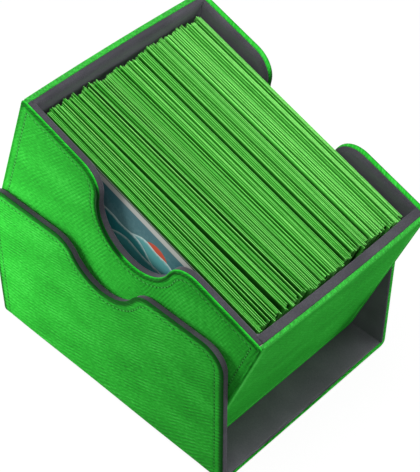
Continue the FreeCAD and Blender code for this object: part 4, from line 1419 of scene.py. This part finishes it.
def card_print(middle):
    """The printed face: colours laid over each other from the sky to the border."""
    finish = Finish("printed_card")
    axes = finish.tree.nodes.new("ShaderNodeSeparateXYZ")
    finish.put(axes.inputs[0], finish.pattern)
    x = finish.sum("MULTIPLY", axes.outputs[0], UV_SPAN / MM)
    z = finish.sum("SUBTRACT", finish.sum("MULTIPLY", axes.outputs[1], UV_SPAN / MM), middle / MM)

    def mask(value, soft=0.15):
        """From 0 below zero to 1 above it."""
        return finish.ramp(value, -soft, soft, smooth=True)

    def beyond(half_width, half_height):
        """How far a point lies outside a rectangle about the middle."""
        wide = finish.sum("SUBTRACT", finish.sum("ABSOLUTE", x), half_width)
        tall = finish.sum("SUBTRACT", finish.sum("ABSOLUTE", z), half_height)
        return finish.sum("MAXIMUM", wide, tall)

    share = finish.sum("DIVIDE", finish.sum("SUBTRACT", z, SKY_FROM), SKY_HEIGHT)
    grain = finish.noise(GRAIN_SCALE, 3.0)
    colour = finish.mix(finish.total(share, (grain, SKY_GRAIN)), SKY_LOW, SKY_HIGH)
    across = finish.sum("SUBTRACT", x, SUN_PLACE[0])
    above = finish.sum("SUBTRACT", z, SUN_PLACE[1])
    squares = finish.sum("ADD", finish.sum("POWER", across, 2.0), finish.sum("POWER", above, 2.0))
    from_sun = finish.sum("SQRT", squares)
    colour = finish.mix(mask(finish.sum("SUBTRACT", SUN_RADIUS, from_sun)), colour, SUN)
    for level, height, length, start, tint in HILLS:
        wave = finish.sum("SINE", finish.total(start, (x, 1 / length)))
        overtone = finish.sum("SINE", finish.total(OVERTONE_SHARE * start, (x, OVERTONE / length)))
        hill = finish.total(level, (wave, height), (overtone, height / OVERTONE_SHARE))
        depth = finish.sum("SUBTRACT", hill, z)
        colour = finish.mix(mask(depth), colour, CREST)
        painted = finish.total(finish.sum("SUBTRACT", depth, CREST_WIDTH), (grain, CREST_WEAR))
        colour = finish.mix(mask(painted, CREST_SOFT), colour, tint)
    inner = beyond(CARD_HALF_WIDTH - PRINT_BORDER, CARD_HALF_HEIGHT - PRINT_BORDER)
    colour = finish.mix(mask(inner), colour, BORDER)
    colour = finish.mix(mask(beyond(CARD_HALF_WIDTH, CARD_HALF_HEIGHT), 0.1), colour, FILM)
    finish.set(Base_Color=colour, Roughness=0.42, Specular_IOR_Level=0.3)
    finish.bump(grain, 0.02 * MM, 0.2)
    return finish.material


card_face = card_print((first_card.low[2] + first_card.high[2]) / 2)
make_piece("printed_front_card", sleeve(0), stand_card, card_face, "deck", ["front_card"])

# %% [markdown]
# ## Boards and magnets
#
# The boards and magnets lie inside the panels and are only seen when a panel is cut open. Their CAD
# shapes are right as they are, so they keep them and get finishes: grey board pressed from fibres, and
# plated steel that has been turned.

# %% Finishes of the CAD nodes
GREYBOARD_DARK = (0.16, 0.145, 0.125, 1)
GREYBOARD_PALE = (0.36, 0.335, 0.30, 1)
STEEL_DARK = (0.45, 0.45, 0.46, 1)
STEEL_PALE = (0.72, 0.72, 0.73, 1)


def grey_board():
    """Pressed board: coarse flecks and fine fibres."""
    finish = Finish("grey_board")
    flecks = finish.noise(1400.0, 4.0, distortion=0.6)
    finish.set(Base_Color=finish.mix(flecks, GREYBOARD_DARK, GREYBOARD_PALE), Roughness=0.92)
    finish.bump(flecks, 0.06 * MM, 0.6)
    return finish.material


def magnet_steel():
    """Plated disc: fine turning marks in its colour and its gloss."""
    finish = Finish("magnet_steel")
    marks = finish.noise(2200.0, 2.0)
    gloss = finish.sum("ADD", finish.sum("MULTIPLY", marks, 0.18), 0.2)
    finish.set(Base_Color=finish.mix(marks, STEEL_DARK, STEEL_PALE), Metallic=1.0, Roughness=gloss)
    return finish.material


board_finish = grey_board()
steel_finish = magnet_steel()
kept = []
for name, node in frame["nodes"].items():
    if name.endswith(("_board", "_magnets")):
        node.data.materials.clear()
        node.data.materials.append(steel_finish if name.endswith("_magnets") else board_finish)
        kept.append(name)
print(len(kept), "CAD nodes keep their shape:", ", ".join(kept))

# %% [markdown]
# ## Floor, light and world
#
# The photograph has a plain white ground. The floor here is white too. Part of its light is its own for
# camera rays, which keeps it white and still lets the object's shadow show. A softbox stands close to
# the left front corner, so the front is brightest there and grows darker to the right. A wide lamp
# overhead lights the cards, and two weaker ones, before the open end and behind it, fill the end wall
# and the cover's inside. The world gives an even ground level.

# %% Floor
FLOOR_SIZE = 4.0
FLOOR_GLOW = 0.76
FLOOR_LEVEL = 1.26
FLOOR_PALE = (0.20, 0.20, 0.20, 1)


def seen_directly(tree):
    """1 for a ray from the camera, off a gloss or through a clear piece, else 0: the most of three."""
    path = tree.nodes.new("ShaderNodeLightPath")
    seen = path.outputs["Is Camera Ray"]
    for ray in ("Is Glossy Ray", "Is Transmission Ray"):
        either = tree.nodes.new("ShaderNodeMath")
        either.operation = "MAXIMUM"
        tree.links.new(seen, either.inputs[0])
        tree.links.new(path.outputs[ray], either.inputs[1])
        seen = either.outputs[0]
    return seen


def white_floor():
    """White paper: a diffuse sheet that glows for the rays that see it as background."""
    material = bpy.data.materials.new("white_floor")
    material.use_nodes = True
    tree = material.node_tree
    tree.nodes.clear()
    output = tree.nodes.new("ShaderNodeOutputMaterial")
    paper = tree.nodes.new("ShaderNodeBsdfDiffuse")
    paper.inputs["Color"].default_value = FLOOR_PALE
    glow = tree.nodes.new("ShaderNodeEmission")
    glow.inputs["Strength"].default_value = FLOOR_LEVEL
    share = tree.nodes.new("ShaderNodeMath")
    share.operation = "MULTIPLY"
    share.inputs[1].default_value = FLOOR_GLOW
    tree.links.new(seen_directly(tree), share.inputs[0])
    blend = tree.nodes.new("ShaderNodeMixShader")
    tree.links.new(share.outputs[0], blend.inputs[0])
    tree.links.new(paper.outputs[0], blend.inputs[1])
    tree.links.new(glow.outputs[0], blend.inputs[2])
    tree.links.new(blend.outputs[0], output.inputs["Surface"])
    return material


half_floor = FLOOR_SIZE / 2
corners = [(-half_floor, -half_floor, 0), (half_floor, -half_floor, 0)]
corners += [(half_floor, half_floor, 0), (-half_floor, half_floor, 0)]
floor_mesh = bpy.data.meshes.new("floor")
floor_mesh.from_pydata(corners, [], [(0, 1, 2, 3)])
floor_mesh.materials.append(white_floor())
floor = bpy.data.objects.new("floor", floor_mesh)
bpy.context.scene.collection.objects.link(floor)
print("floor", FLOOR_SIZE, "m wide")

# %% Lamps
def softbox(name, place, target, size, power):
    """A square lamp at a place, turned so that it faces a target."""
    lamp = bpy.data.lights.new(name, "AREA")
    lamp.size = size
    lamp.energy = power
    box = bpy.data.objects.new(name, lamp)
    box.location = place
    toward = np.subtract(target, place)
    level = math.hypot(toward[0], toward[1])
    pitch = math.atan2(level, -toward[2])
    box.rotation_euler = (pitch, 0, math.atan2(-toward[0], toward[1]))
    box.visible_camera = False
    bpy.context.scene.collection.objects.link(box)
    print(f"{name}: {power} W, {np.linalg.norm(toward):.2f} m away")


softbox("key_softbox", (-0.145, -0.125, 0.065), (-0.03, -0.03, 0.04), 0.10, 0.46)
softbox("top_softbox", (0.08, -0.04, 0.62), (0.0, 0.0, 0.05), 0.32, 4.2)
softbox("side_softbox", (0.50, -0.10, 0.09), (0.0, 0.0, 0.04), 0.30, 0.64)
softbox("rear_softbox", (0.40, 0.42, 0.12), (0.03, 0.03, 0.05), 0.25, 1.1)

# %% World and view
WORLD_LEVEL = 0.11

world = bpy.data.worlds.new("studio")
world.use_nodes = True
nodes = world.node_tree.nodes
links = world.node_tree.links
background = nodes["Background"]
background.inputs["Color"].default_value = (1, 1, 1, 1)
level = nodes.new("ShaderNodeMapRange")
level.inputs["To Min"].default_value = WORLD_LEVEL
links.new(seen_directly(world.node_tree), level.inputs["Value"])
links.new(level.outputs[0], background.inputs["Strength"])
bpy.context.scene.world = world
bpy.context.scene.view_settings.view_transform = "Standard"
print("world level", WORLD_LEVEL)
